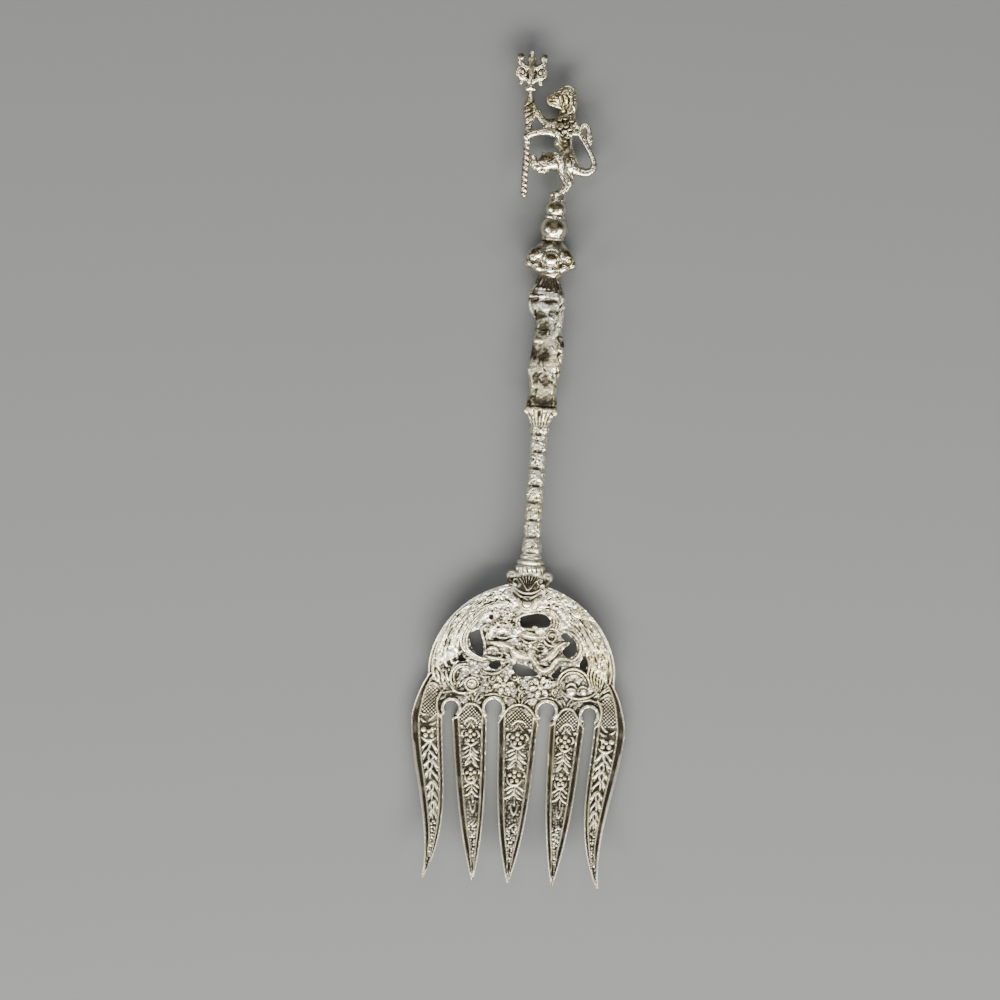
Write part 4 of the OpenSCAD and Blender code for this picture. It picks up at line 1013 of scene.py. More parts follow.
    def roots(self, work: Relief) -> None:
        """Rings round the slots' ends, the little arches over the tines and their grains."""
        f = self.floor
        for cx, cy, r in self.form.holes:
            work.stroke(arc(cx, cy, r + 0.62, -42, 222, 18), 0.62, 1.3, Taper.NONE, Crest.FLAT, level=f, per=2)
        for path in (
            [(-5.7, 47.0), (-4.4, 49.2), (-3.2, 50.9), (-1.6, 52.0), (0.3, 52.3), (2.0, 51.9), (3.6, 50.7),
             (4.8, 49.0), (6.0, 47.0)],
            [(10.1, 47.0), (11.4, 49.2), (12.6, 51.2), (14.2, 52.0), (16.0, 51.6), (17.2, 50.0), (18.4, 48.2),
             (19.4, 47.0)],
            [(-9.3, 47.0), (-10.6, 49.0), (-12.2, 51.0), (-14.0, 51.6), (-15.8, 51.2), (-17.0, 49.6),
             (-18.2, 47.6), (-19.3, 47.0)],
        ):
            work.stroke(path, 0.42, 1.25, Taper.NONE, level=f)
        for s in (-1, 1):
            work.stroke([(s * 22.9, 47.0), (s * 24.0, 48.4), (s * 24.5, 50.6), (s * 24.3, 52.8), (s * 23.2, 55.0)],
                        0.4, 1.2, Taper.NONE, level=f)
            work.stroke([(s * 23.4, 55.0), (s * 25.2, 56.6), (s * 26.4, 57.0), (s * 28.0, 56.2)], 0.4, 1.15, level=f)
            work.stroke([(s * 23.4, 56.4), (s * 25.0, 58.4), (s * 26.2, 59.4)], 0.36, 1.0, level=f)
            work.stroke([(s * 24.6, 57.4), (s * 26.2, 58.4), (s * 27.2, 58.4)], 0.3, 0.9, level=f)
        for cx in (-13.6, 13.9, 0.3):
            for s in (-1, 1):
                work.stroke([(cx + s * 0.2, 52.3), (cx + s * 0.7, 53.9), (cx + s * 1.8, 55.2)], 0.3, 0.9, level=f)
                work.stroke([(cx + s * 1.0, 52.4), (cx + s * 2.0, 53.6), (cx + s * 3.1, 54.2)], 0.3, 0.9, level=f)
        for a, b in ((-12.4, -2.9), (3.4, 13.0), (-24.4, -16.0), (16.6, 25.2)):
            mid = (a + b) / 2
            work.stroke([(a, 54.2), (mid - 2, 54.6), (mid, 55.0), (mid + 2, 54.6), (b, 54.2)], 0.34, 1.05, level=f)


@dataclass(frozen=True)
class Silver:
    """Old silver, bright on its high places and brown-black in its hollows, from tarnish and from painted shade.

    Attributes:
        name: Name of the material.
        clean: Colour of bright metal.
        oxide_and_shade: Colour of the tarnish, also used for painted shade.
        clean_roughness: Roughness of bright metal.
        oxide_roughness: Roughness of the tarnish.
        grain: Strength of the cast skin's bump.
        grain_size: Cells of the cast skin to a metre.
        yellow: Share of warm tint over the whole piece.
    """

    name: str
    clean: tuple[float, float, float] = (0.9, 0.866, 0.72)
    oxide_and_shade: tuple[float, float, float] = (0.03, 0.026, 0.018)
    clean_roughness: float = 0.3
    oxide_roughness: float = 0.62
    grain: float = 0.25
    grain_size: float = 1500.0
    yellow: float = 0.1

    def build(self) -> bpy.types.Material:
        """Make the material's nodes.

        Returns:
            The material.
        """
        mat = bpy.data.materials.new(self.name)
        mat.use_nodes = True
        tree = mat.node_tree
        nodes, links = tree.nodes, tree.links
        nodes.clear()

        def node(kind: str, x: float, y: float) -> bpy.types.Node:
            made = nodes.new(kind)
            made.location = (x, y)
            return made

        out = node("ShaderNodeOutputMaterial", 900, 0)
        skin = node("ShaderNodeBsdfPrincipled", 600, 0)
        skin.inputs["Metallic"].default_value = 1.0
        links.new(skin.outputs["BSDF"], out.inputs["Surface"])
        where = node("ShaderNodeTexCoord", -1100, -200)
        # Reads how dark each vertex is painted: tarnish, painted shade and painted highlight.
        oxide_and_shade_node = node("ShaderNodeAttribute", -1100, 200)
        oxide_and_shade_node.attribute_type = "GEOMETRY"
        oxide_and_shade_node.attribute_name = OXIDE_AND_SHADE

        patchy = node("ShaderNodeTexNoise", -850, -50)
        patchy.inputs["Scale"].default_value = 260.0
        patchy.inputs["Detail"].default_value = 5.0
        links.new(where.outputs["Object"], patchy.inputs["Vector"])
        spread = node("ShaderNodeMapRange", -620, -50)
        spread.inputs["From Min"].default_value = 0.3
        spread.inputs["From Max"].default_value = 0.7
        spread.inputs["To Min"].default_value = -0.12
        spread.inputs["To Max"].default_value = 0.14
        links.new(patchy.outputs["Fac"], spread.inputs["Value"])
        total = node("ShaderNodeMath", -420, 120)
        total.operation = "ADD"
        total.use_clamp = True
        links.new(oxide_and_shade_node.outputs["Fac"], total.inputs[0])
        links.new(spread.outputs["Result"], total.inputs[1])

        warm = node("ShaderNodeTexNoise", -850, -320)
        warm.inputs["Scale"].default_value = 45.0
        warm.inputs["Detail"].default_value = 3.0
        links.new(where.outputs["Object"], warm.inputs["Vector"])
        tint = node("ShaderNodeValToRGB", -420, -260)
        tint.color_ramp.elements[0].position = 0.42
        tint.color_ramp.elements[0].color = (*self.clean, 1)
        tint.color_ramp.elements[1].position = 0.72
        warmer = (self.clean[0], self.clean[1] * (1 - 0.35 * self.yellow), self.clean[2] * (1 - 1.6 * self.yellow))
        tint.color_ramp.elements[1].color = (*warmer, 1)
        links.new(warm.outputs["Fac"], tint.inputs["Fac"])

        colour = node("ShaderNodeMix", 60, 120)
        colour.data_type = "RGBA"
        links.new(total.outputs["Value"], colour.inputs["Factor"])
        links.new(tint.outputs["Color"], colour.inputs["A"])
        colour.inputs["B"].default_value = (*self.oxide_and_shade, 1)
        links.new(colour.outputs["Result"], skin.inputs["Base Color"])

        rough = node("ShaderNodeMapRange", 60, -150)
        rough.inputs["To Min"].default_value = self.clean_roughness
        rough.inputs["To Max"].default_value = self.oxide_roughness
        links.new(total.outputs["Value"], rough.inputs["Value"])
        links.new(rough.outputs["Result"], skin.inputs["Roughness"])

        sand = node("ShaderNodeTexNoise", -200, -450)
        sand.inputs["Scale"].default_value = self.grain_size
        sand.inputs["Detail"].default_value = 4.0
        links.new(where.outputs["Object"], sand.inputs["Vector"])
        bump = node("ShaderNodeBump", 200, -450)
        bump.inputs["Strength"].default_value = self.grain
        bump.inputs["Distance"].default_value = 0.0001
        links.new(sand.outputs["Fac"], bump.inputs["Height"])
        links.new(bump.outputs["Normal"], skin.inputs["Normal"])
        return mat


@dataclass
class Workshop:
    """What every piece needs once its mesh is made."""

    mats: dict[Finish, bpy.types.Material] = field(default_factory=dict)

    def open(self) -> None:
        """Make the finishes."""
        self.mats[Finish.CHASED] = Silver("silver_chased", grain=0.22, clean_roughness=0.3).build()
        self.mats[Finish.CAST] = Silver(
            "silver_cast", clean=(0.9, 0.85, 0.675), grain=0.25, clean_roughness=0.17, oxide_roughness=0.45, yellow=0.14,
            oxide_and_shade=(0.065, 0.05, 0.024),
        ).build()
        self.mats[Finish.SANDY] = Silver(
            "silver_sandy", grain=0.75, grain_size=2300.0, clean_roughness=0.33, yellow=0.18,
            oxide_and_shade=(0.05, 0.043, 0.03),
        ).build()

    def object_of(self, name: str, mesh: bpy.types.Mesh) -> bpy.types.Object:
        """Put a mesh in the scene under a name."""
        obj = bpy.data.objects.new(name, mesh)
        bpy.context.scene.collection.objects.link(obj)
        return obj

    def take(self, obj: bpy.types.Object) -> bpy.types.Mesh:
        """Apply an object's modifiers, delete it and keep its mesh.

        Args:
            obj: The object with its modifiers.

        Returns:
            The evaluated mesh.
        """
        graph = bpy.context.evaluated_depsgraph_get()
        graph.update()
        mesh = bpy.data.meshes.new_from_object(obj.evaluated_get(graph), depsgraph=graph)
        old = obj.data
        bpy.data.objects.remove(obj)
        bpy.data.meshes.remove(old)
        return mesh

    def common(self, base: bpy.types.Object, cutters: Sequence[tuple[bpy.types.Object, str]]) -> bpy.types.Mesh:
        """Keep what a block shares with some cutters, or what others leave of it.

        Args:
            base: The block.
            cutters: Each cutter with the kind of its Boolean.

        Returns:
            The cut mesh.
        """
        for tool, kind in cutters:
            mod = base.modifiers.new("cut", "BOOLEAN")
            mod.operation = kind
            mod.solver = "MANIFOLD"
            mod.object = tool
        mesh = self.take(base)
        for tool, _ in cutters:
            old = tool.data
            bpy.data.objects.remove(tool)
            bpy.data.meshes.remove(old)
        return mesh

    def finish(self, obj: bpy.types.Object, look: Finish, sharp: float = 60.0) -> None:
        """Give a piece its material and shading, and hand it to the frame.

        Args:
            obj: The piece, in the drawing's millimetres.
            look: Its finish.
            sharp: Angle in degrees above which an edge shades as sharp.
        """
        PLACE.to_frame(obj)
        mesh = obj.data
        mesh.materials.clear()
        mesh.materials.append(self.mats[look])
        mesh.shade_smooth()
        mesh.set_sharp_from_angle(angle=math.radians(sharp))
        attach(obj, BODY)
        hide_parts(NODE)
        mesh.calc_loop_triangles()
        LOG.info("%s: %d triangles", obj.name, len(mesh.loop_triangles))


def coords(mesh: bpy.types.Mesh) -> np.ndarray:
    """Places of a mesh's vertices."""
    out = np.empty(len(mesh.vertices) * 3)
    mesh.vertices.foreach_get("co", out)
    return out.reshape(-1, 3)


def paint(mesh: bpy.types.Mesh, values: np.ndarray) -> None:
    """Write how dark each vertex is painted: tarnish and painted shade together."""
    layer = mesh.attributes.get(OXIDE_AND_SHADE) or mesh.attributes.new(OXIDE_AND_SHADE, "FLOAT", "POINT")
    layer.data.foreach_set("value", np.clip(values, 0, 1).astype(np.float32))


@dataclass
class Head:
    """The tines and the arched plate, each a chased block cut to its plan.

    Attributes:
        shop: Where pieces are finished.
        form: Plan, dish and thickness.
        step: Distance from sample to sample.
        rise: Height of the tines' ornament.
        pebbles: Distance between the grains of the tines' ground, and their height.
        shade: How much hollows darken, on the plate and on the tines.
    """

    shop: Workshop
    form: HeadForm = field(default_factory=HeadForm)
    step: float = 0.185
    rise: float = 0.72
    pebbles: Point = (0.8, 0.56)
    shade: Point = (0.9, 0.5)

    def lattice(self, y0: float, y1: float) -> tuple[np.ndarray, np.ndarray]:
        """Places of a block's samples, on steps that both blocks share.

        Args:
            y0: Lowest place along.
            y1: Highest place along.
        """
        half = math.ceil(32.6 / self.step)
        xs = np.arange(-half, half + 1) * self.step
        first = round((y0 - self.form.tine_len) / self.step)
        last = round((y1 - self.form.tine_len) / self.step)
        ys = self.form.tine_len + np.arange(first, last + 1) * self.step
        return xs, ys

    def heights(self, xs: np.ndarray, ys: np.ndarray) -> tuple[np.ndarray, np.ndarray]:
        """Thickness and darkness of the chased metal at every sample of a block: tarnish, painted shade and painted
        highlight.

        Args:
            xs: Places across.
            ys: Places along.

        Returns:
            Two grids with one row for each place along.
        """
        gx, gy = (g.ravel() for g in np.meshgrid(xs, ys))
        tines = TineChasing(self.form)
        panel = PanelChasing(self.form)
        out, shine = np.full(gx.shape, 0.7), np.zeros(gx.shape)
        high = gy >= self.form.tine_len - 1.5
        out[high], shine[high] = panel.ground(gx[high], gy[high])
        plate = high.copy()
        grain = np.zeros(gx.shape)
        flat = np.ones(gx.shape)
        hatch = np.zeros(gx.shape)
        for i in range(5):
            here = np.nonzero(tines.owned(i, gx, gy))[0]
            if not len(here):
                continue
            out[here], shine[here], grain[here] = tines.ground(i, gx[here], gy[here])
            flat[here] = np.clip(0.62 + gy[here] / 26, 0, 1)
            plate[here] = False
            motif = Relief(gx[here], gy[here], np.zeros(len(here)))
            if i in (0, 4):
                tines.outer(motif, i, self.rise)
            else:
                tines.inner(motif, i, self.rise)
            raised = np.clip(motif.height, -0.2, 9) * grain[here]
            out[here] += raised
            y = gy[here]
            busy = eased(y, 14.5, 18.5) * (0.55 if i not in (0, 4) else 0.75)
            crown = eased(y, 45.4, 46.4) if i not in (0, 4) else eased(y, 46.8, 48.0)
            bare = grain[here] * (1 - eased(motif.height, 0.02, 0.2))
            hatch[here] = bare * crown
            grain[here] = bare * (1 - np.maximum(busy, crown))
        work = Relief(gx, gy, out)
        work.pebbles(grain, *self.pebbles, PEBBLE_SEED)
        turns = [2 * np.pi * (gx + s * gy) / 1.08 for s in (-1, 1)]
        out += 0.34 * hatch * eased(np.cos(turns[0]), -0.45, 0.35) * eased(np.cos(turns[1]), -0.45, 0.35)
        if high.any():
            shelf = Relief(gx, gy, out)
            for job in (panel.plumes, panel.frame_lines, panel.figures, panel.garland, panel.roots):
                job(shelf)
            skin = 0.05 * softly(gx, gy, 0.42) + 0.08 * softly(gx + 3, gy, 0.8)
            out += skin * plate * (1 - eased(shine, 0.2, 0.6))
        # Low ground and channels are darker than the raised chasing: tarnish, together with painted shade for the dark
        # that flat metal reflects.
        over = out - flat
        dark = np.where(plate, 0.54 - 0.54 * eased(over, -0.1, 0.5), 0.94 - 0.94 * eased(over, 0.1, 0.46))
        dark = np.where(over < -0.2, np.where(plate, 0.64, 0.8), dark)
        grid = (len(ys), len(xs))
        thick = out.reshape(grid)
        fine = softened(thick, 1) - thick
        broad = softened(thick, 4) - thick
        hollow = (1.9 * fine + 1.1 * broad).ravel()
        dark = dark + np.where(plate, *self.shade) * hollow + 0.22 * hatch
        # Painted highlight: lips and ridges are cleared of the dark.
        dark = np.where(plate, dark, dark * (1 - 0.95 * shine))
        dark = np.where(plate, np.minimum(dark, 1 - 0.9 * shine), dark)
        return thick, np.clip(dark, 0, 1).reshape(grid)

    def block(self, name: str, xs: np.ndarray, ys: np.ndarray, thick: np.ndarray) -> bpy.types.Object:
        """A closed block whose top carries the chasing.

        Args:
            name: Name of the object.
            xs: Places across.
            ys: Places along.
            thick: Thickness of the metal at each sample.
        """
        bm = bmesh.new()
        bmesh.ops.create_grid(bm, x_segments=len(xs) - 1, y_segments=len(ys) - 1, size=0.5)
        mesh = bpy.data.meshes.new(name)
        bm.to_mesh(mesh)
        co = coords(mesh)
        ix = np.rint((co[:, 0] + 0.5) * (len(xs) - 1)).astype(int)
        iy = np.rint((co[:, 1] + 0.5) * (len(ys) - 1)).astype(int)
        co[:, 0], co[:, 1] = xs[ix], ys[iy]
        co[:, 2] = thick[iy, ix] + self.form.dish(co[:, 0], co[:, 1])
        mesh.vertices.foreach_set("co", co.ravel())
        bm.free()
        bm = bmesh.new()
        bm.from_mesh(mesh)
        rim = [e for e in bm.edges if e.is_boundary]
        skirt = bmesh.ops.extrude_edge_only(bm, edges=rim)
        low = [g for g in skirt["geom"] if isinstance(g, bmesh.types.BMVert)]
        for v in low:
            v.co.z = SKIRT_Z
        bmesh.ops.contextual_create(bm, geom=[e for e in bm.edges if e.is_boundary])
        bmesh.ops.recalc_face_normals(bm, faces=bm.faces)
        bm.to_mesh(mesh)
        bm.free()
        return self.shop.object_of(name, mesh)

    def prism(self, name: str, outlines: Sequence[Sequence[Point]]) -> bpy.types.Object:
        """Upright walls over flat outlines."""
        bm = bmesh.new()
        for outline in outlines:
            corners = [bm.verts.new((x, y, PRISM_Z)) for x, y in outline]
            sides = [bm.edges.new((a, b)) for a, b in zip(corners, corners[1:] + corners[:1])]
            bmesh.ops.triangle_fill(bm, use_beauty=True, use_dissolve=False, edges=sides)
        lifted = bmesh.ops.extrude_face_region(bm, geom=bm.faces[:])
        top = [g for g in lifted["geom"] if isinstance(g, bmesh.types.BMVert)]
        bmesh.ops.translate(bm, verts=top, vec=(0, 0, PRISM_H))
        bmesh.ops.recalc_face_normals(bm, faces=bm.faces)
        mesh = bpy.data.meshes.new(name)
        bm.to_mesh(mesh)
        bm.free()
        return self.shop.object_of(name, mesh)

    def back(self, name: str, y0: float, y1: float) -> bpy.types.Object:
        """The dished back as the underside of a deep block."""
        bm = bmesh.new()
        nx, ny = 40, max(8, int((y1 - y0) / 1.6))
        bmesh.ops.create_grid(bm, x_segments=nx, y_segments=ny, size=0.5)
        for v in bm.verts:
            x, y = v.co.x * 66.0, y0 - 1 + (v.co.y + 0.5) * (y1 - y0 + 2)
            v.co = (x, y, float(self.form.dish(np.float64(x), np.float64(y))) + 0.02)
        rim = [e for e in bm.edges if e.is_boundary]
        walls = bmesh.ops.extrude_edge_only(bm, edges=rim)
        for g in walls["geom"]:
            if isinstance(g, bmesh.types.BMVert):
                g.co.z = ROOF_Z
        bmesh.ops.contextual_create(bm, geom=[e for e in bm.edges if e.is_boundary])
        bmesh.ops.recalc_face_normals(bm, faces=bm.faces)
        mesh = bpy.data.meshes.new(name)
        bm.to_mesh(mesh)
        bm.free()
        return self.shop.object_of(name, mesh)

    def oxide_and_shade(self, mesh: bpy.types.Mesh, xs: np.ndarray, ys: np.ndarray, thick: np.ndarray, dark: np.ndarray) -> None:
        """Write the chased side's tarnish, painted shade and painted highlight on the cut mesh."""
        co = coords(mesh)
        ix = np.clip(np.rint((co[:, 0] - xs[0]) / self.step).astype(int), 0, len(xs) - 1)
        iy = np.clip(np.rint((co[:, 1] - ys[0]) / self.step).astype(int), 0, len(ys) - 1)
        over = co[:, 2] - self.form.dish(co[:, 0], co[:, 1])
        paint(mesh, np.where(over > 0.6 * thick[iy, ix], dark[iy, ix], 0.25))

    def build(self) -> None:
        """Make the tines and the plate."""
        top = self.form.tine_len
        jobs = (
            ("tines", -0.8, top, [self.form.tine_outline(i) for i in range(5)], []),
            ("plate", top, 90.0, [self.form.plate_outline()],
             self.form.slots() + [[tuple(p) for p in curve(p, 5, True)] for p in PIERCINGS]
             + [arc(*PIERCED_DOT, 0, 345, 23)]),
        )
        for name, y0, y1, keep, cut in jobs:
            xs, ys = self.lattice(y0, y1)
            thick, dark = self.heights(xs, ys)
            block = self.block(name, xs, ys, thick)
            tools = [(self.prism("plan", keep), "INTERSECT"), (self.back("dish", y0, y1), "INTERSECT")]
            tools += [(self.prism(f"hole_{i}", [c]), "DIFFERENCE") for i, c in enumerate(cut)]
            mesh = self.shop.common(block, tools)
            mesh.name = name
            self.oxide_and_shade(mesh, xs, ys, thick, dark)
            self.shop.finish(self.shop.object_of(f"fork_{name}", mesh), Finish.CHASED)


def averaged(values: np.ndarray, edges: np.ndarray, turns: int) -> np.ndarray:
    """Values after some turns of taking each vertex's and its neighbours' mean.

    Args:
        values: One row for each vertex.
        edges: Pairs of vertices that share an edge.
        turns: How often the mean is taken.
    """
    count = len(values)
    degree = np.bincount(edges.ravel(), minlength=count)[:, None] + 1.0
    out = values.astype(float)
    for _ in range(turns):
        total = out.copy()
        for k in range(out.shape[1]):
            total[:, k] += np.bincount(edges[:, 0], weights=out[edges[:, 1], k], minlength=count)
            total[:, k] += np.bincount(edges[:, 1], weights=out[edges[:, 0], k], minlength=count)
        out = total / degree
    return out


@dataclass
class Casting:
    """A cast form: solid shapes fused into one skin, which is then chased.

    Attributes:
        shop: Where pieces are finished.
        form: Sizes that the handle shares with the head.
        name: Name of the piece.
        voxel: Size of the skin's faces.
        lump: Height of the uneven cast skin.
        lump_size: Distance from lump to lump.
        look: Its finish.
        dull: How oxidised its smooth places are.
        offset: Place across of the handle's line.
        swell: Added to the half width and half depth of every limb.
        edge: How much darker its upright sides are painted, a painted shade.
    """

    shop: Workshop
    form: HeadForm = field(default_factory=HeadForm)
    name: str = "casting"
    voxel: float = 0.16
    lump: float = 0.05
    lump_size: float = 0.9
    look: Finish = Finish.CAST
    dull: float = 0.1
    offset: float = 0.4
    swell: float = 0.0
    edge: float = 0.4

    def shapes(self, bm: bmesh.types.BMesh) -> None:
        """Add the solid shapes, in the drawing's millimetres."""

    def chase(self, front: Relief) -> None:
        """Chase the front."""

    def paint_shade_and_tarnish(self, shade_and_tarnish: Relief) -> None:
        """Darken patches of the front: painted shade, mostly on upper sides and in hollows, with some tarnish."""

    def patches(self, shade_and_tarnish: Relief, places: Iterable[tuple[float, float, float, float, float, float]]) -> None:
        """Dark patches, each with its place, half length, ratio, turn and strength."""
        for x, y, reach, ratio, turn, strength in places:
            shade_and_tarnish.dome(x, y, reach, strength, ratio, turn, crest=Crest.BROAD)

    def rings(self, bm: bmesh.types.BMesh, places: Sequence[Matrix], sides: int) -> None:
        """A closed skin through rings, each a unit circle under a matrix.

        Args:
            bm: The mesh to add to.
            places: Matrix of each ring.
            sides: Sides of a ring.
        """
        made = bmesh.ops.create_circle(bm, cap_ends=False, segments=sides, radius=1.0, matrix=places[0])
        first = list({e for v in made["verts"] for e in v.link_edges})
        edges = first
        for before, after in zip(places, places[1:]):
            grown = bmesh.ops.extrude_edge_only(bm, edges=edges)["geom"]
            verts = [g for g in grown if isinstance(g, bmesh.types.BMVert)]
            edges = [g for g in grown if isinstance(g, bmesh.types.BMEdge)]
            bmesh.ops.transform(bm, matrix=after @ before.inverted(), verts=verts)
        for loop in (first, edges):
            bmesh.ops.edgeloop_fill(bm, edges=loop)

    def turned(self, bm: bmesh.types.BMesh, stations: Sequence[Sequence[float]], sides: int = 48) -> None:
        """Rings round the handle's line.

        Args:
            bm: The mesh to add to.
            stations: For each ring its place along, its left and right half widths and its half depth.
            sides: Sides of a ring.
        """
        places = []
        for y, left, right, depth in stations:
            centre = Matrix.Translation((self.offset + (right - left) / 2, y, self.form.axis(y)))
            turn = Matrix.Rotation(math.radians(90), 4, "X")
            places.append(centre @ turn @ Matrix.Diagonal(((left + right) / 2, depth, 1.0, 1.0)))
        self.rings(bm, places, sides)

    def limb(
        self, bm: bmesh.types.BMesh, path: Sequence[Sequence[float]], lift: float = 0.0, sides: int = 20
    ) -> None:
        """A rounded limb with round ends.

        Args:
            bm: The mesh to add to.
            path: For each ring its place across and along, its height over the handle's line, its half
                width and its half depth.
            lift: Height added to all of it.
            sides: Sides of a ring.
        """
        rows = np.array(path, float)
        fine = np.column_stack([curve(rows[:, [0, 1]], 3), curve(rows[:, [2, 3]], 3), curve(rows[:, [4, 4]], 3)[:, 0]])
        heads = np.gradient(fine[:, :2], axis=0)
        heads /= np.maximum(np.linalg.norm(heads, axis=1), 1e-6)[:, None]
        rows_out = []
        for s, grow in ((-0.95, 0.3), (-0.75, 0.66), (-0.4, 0.92)):
            rows_out.append((fine[0], heads[0], s * fine[0, 3], grow))
        for row, head in zip(fine, heads):
            rows_out.append((row, head, 0.0, 1.0))
        for s, grow in ((0.4, 0.92), (0.75, 0.66), (0.95, 0.3)):
            rows_out.append((fine[-1], heads[-1], s * fine[-1, 3], grow))
        places = []
        for row, head, push, grow in rows_out:
            x, y, z, w, d = row + (0, 0, 0, self.swell, self.swell)
            ahead = Vector((head[0], head[1], 0.0))
            up = Vector((0.0, 0.0, 1.0))
            across = ahead.cross(up)
            basis = Matrix((across, up, ahead)).transposed().to_4x4()
            at = Matrix.Translation((x + push * head[0], y + push * head[1], self.form.axis(y) + z + lift))
            places.append(at @ basis @ Matrix.Diagonal((w * grow, d * grow, 1.0, 1.0)))
        self.rings(bm, places, sides)

    def ball(
        self, bm: bmesh.types.BMesh, x: float, y: float, z: float, radii: Point3, turn: float = 0.0
    ) -> None:
        """A ball or egg, with its height over the handle's line."""
        at = Matrix.Translation((x, y, self.form.axis(y) + z)) @ Matrix.Rotation(math.radians(turn), 4, "Z")
        bmesh.ops.create_uvsphere(
            bm, u_segments=28, v_segments=18, radius=1.0, matrix=at @ Matrix.Diagonal((*radii, 1.0))
        )

    def skin(self) -> bpy.types.Mesh:
        """Fuse the shapes into one even skin."""
        bm = bmesh.new()
        self.shapes(bm)
        bmesh.ops.recalc_face_normals(bm, faces=bm.faces)
        mesh = bpy.data.meshes.new(self.name)
        bm.to_mesh(mesh)
        bm.free()
        obj = self.shop.object_of(self.name, mesh)
        mod = obj.modifiers.new("fuse", "REMESH")
        mod.mode = "VOXEL"
        mod.voxel_size = self.voxel
        mod.adaptivity = 0.0
        return self.shop.take(obj)

    def build(self) -> bpy.types.Object:
        """Make, chase, darken with tarnish and painted shade, and finish the piece.

        Returns:
            The finished piece.
        """
        mesh = self.skin()
        mesh.name = self.name
        pairs = np.empty(len(mesh.edges) * 2, np.int32)
        mesh.edges.foreach_get("vertices", pairs)
        edges = pairs.reshape(-1, 2)
        co = averaged(coords(mesh), edges, 2)
        mesh.vertices.foreach_set("co", co.ravel())
        normals = np.empty(len(mesh.vertices) * 3)
        mesh.vertices.foreach_get("normal", normals)
        normals = normals.reshape(-1, 3)
        front = Relief(co[:, 0], co[:, 1], np.zeros(len(co)))
        self.chase(front)
        facing = normals[:, 2]
        weight = eased(facing, 0.0, 0.45) + 0.75 * eased(-facing, 0.0, 0.45)
        push = front.height * weight
        if self.lump:
            size = 1.0 / self.lump_size
            seed = float(len(self.name))
            bumps = [
                noise.noise(Vector(p) * size + Vector((seed, 0, 0))) + 0.5 * noise.noise(Vector(p) * 2.3 * size)
                for p in co
            ]
            push = push + self.lump * np.array(bumps)
        co = co + normals * push[:, None]
        mesh.vertices.foreach_set("co", co.ravel())
        mesh.update()
        mesh.vertices.foreach_get("normal", normals.ravel())
        fine = ((averaged(co, edges, 3) - co) * normals).sum(axis=1)
        broad = ((averaged(co, edges, 22) - co) * normals).sum(axis=1)
        dark = self.dull + 0.85 * eased(fine / 0.06 + broad / 0.15 - 1.1 * np.minimum(push, 0.0), -0.1, 1.7)
        mesh.vertices.foreach_get("normal", normals.ravel())
        # Painted shade: the upright sides are darkened.
        dark = dark + self.edge * (1 - eased(np.abs(normals[:, 2]), 0.05, 0.6))
        # Painted shade with some tarnish: dark patches on the faces that look up, lighter on the crests.
        shade_and_tarnish = Relief(co[:, 0], co[:, 1], np.zeros(len(co)))
        self.paint_shade_and_tarnish(shade_and_tarnish)
        uneven = 1 + 0.3 * softly(co[:, 0], co[:, 1], 1.1) + 0.35 * softly(co[:, 0] + 9, co[:, 1], 0.45)
        crests = eased(np.clip(push, 0, 1), 0.12, 0.45)
        dark = dark + shade_and_tarnish.height * uneven * eased(normals[:, 2], -0.1, 0.3) * (1 - 0.75 * crests)
        paint(mesh, dark)
        obj = self.shop.object_of(self.name, mesh)
        self.shop.finish(obj, self.look, 70.0)
        return obj


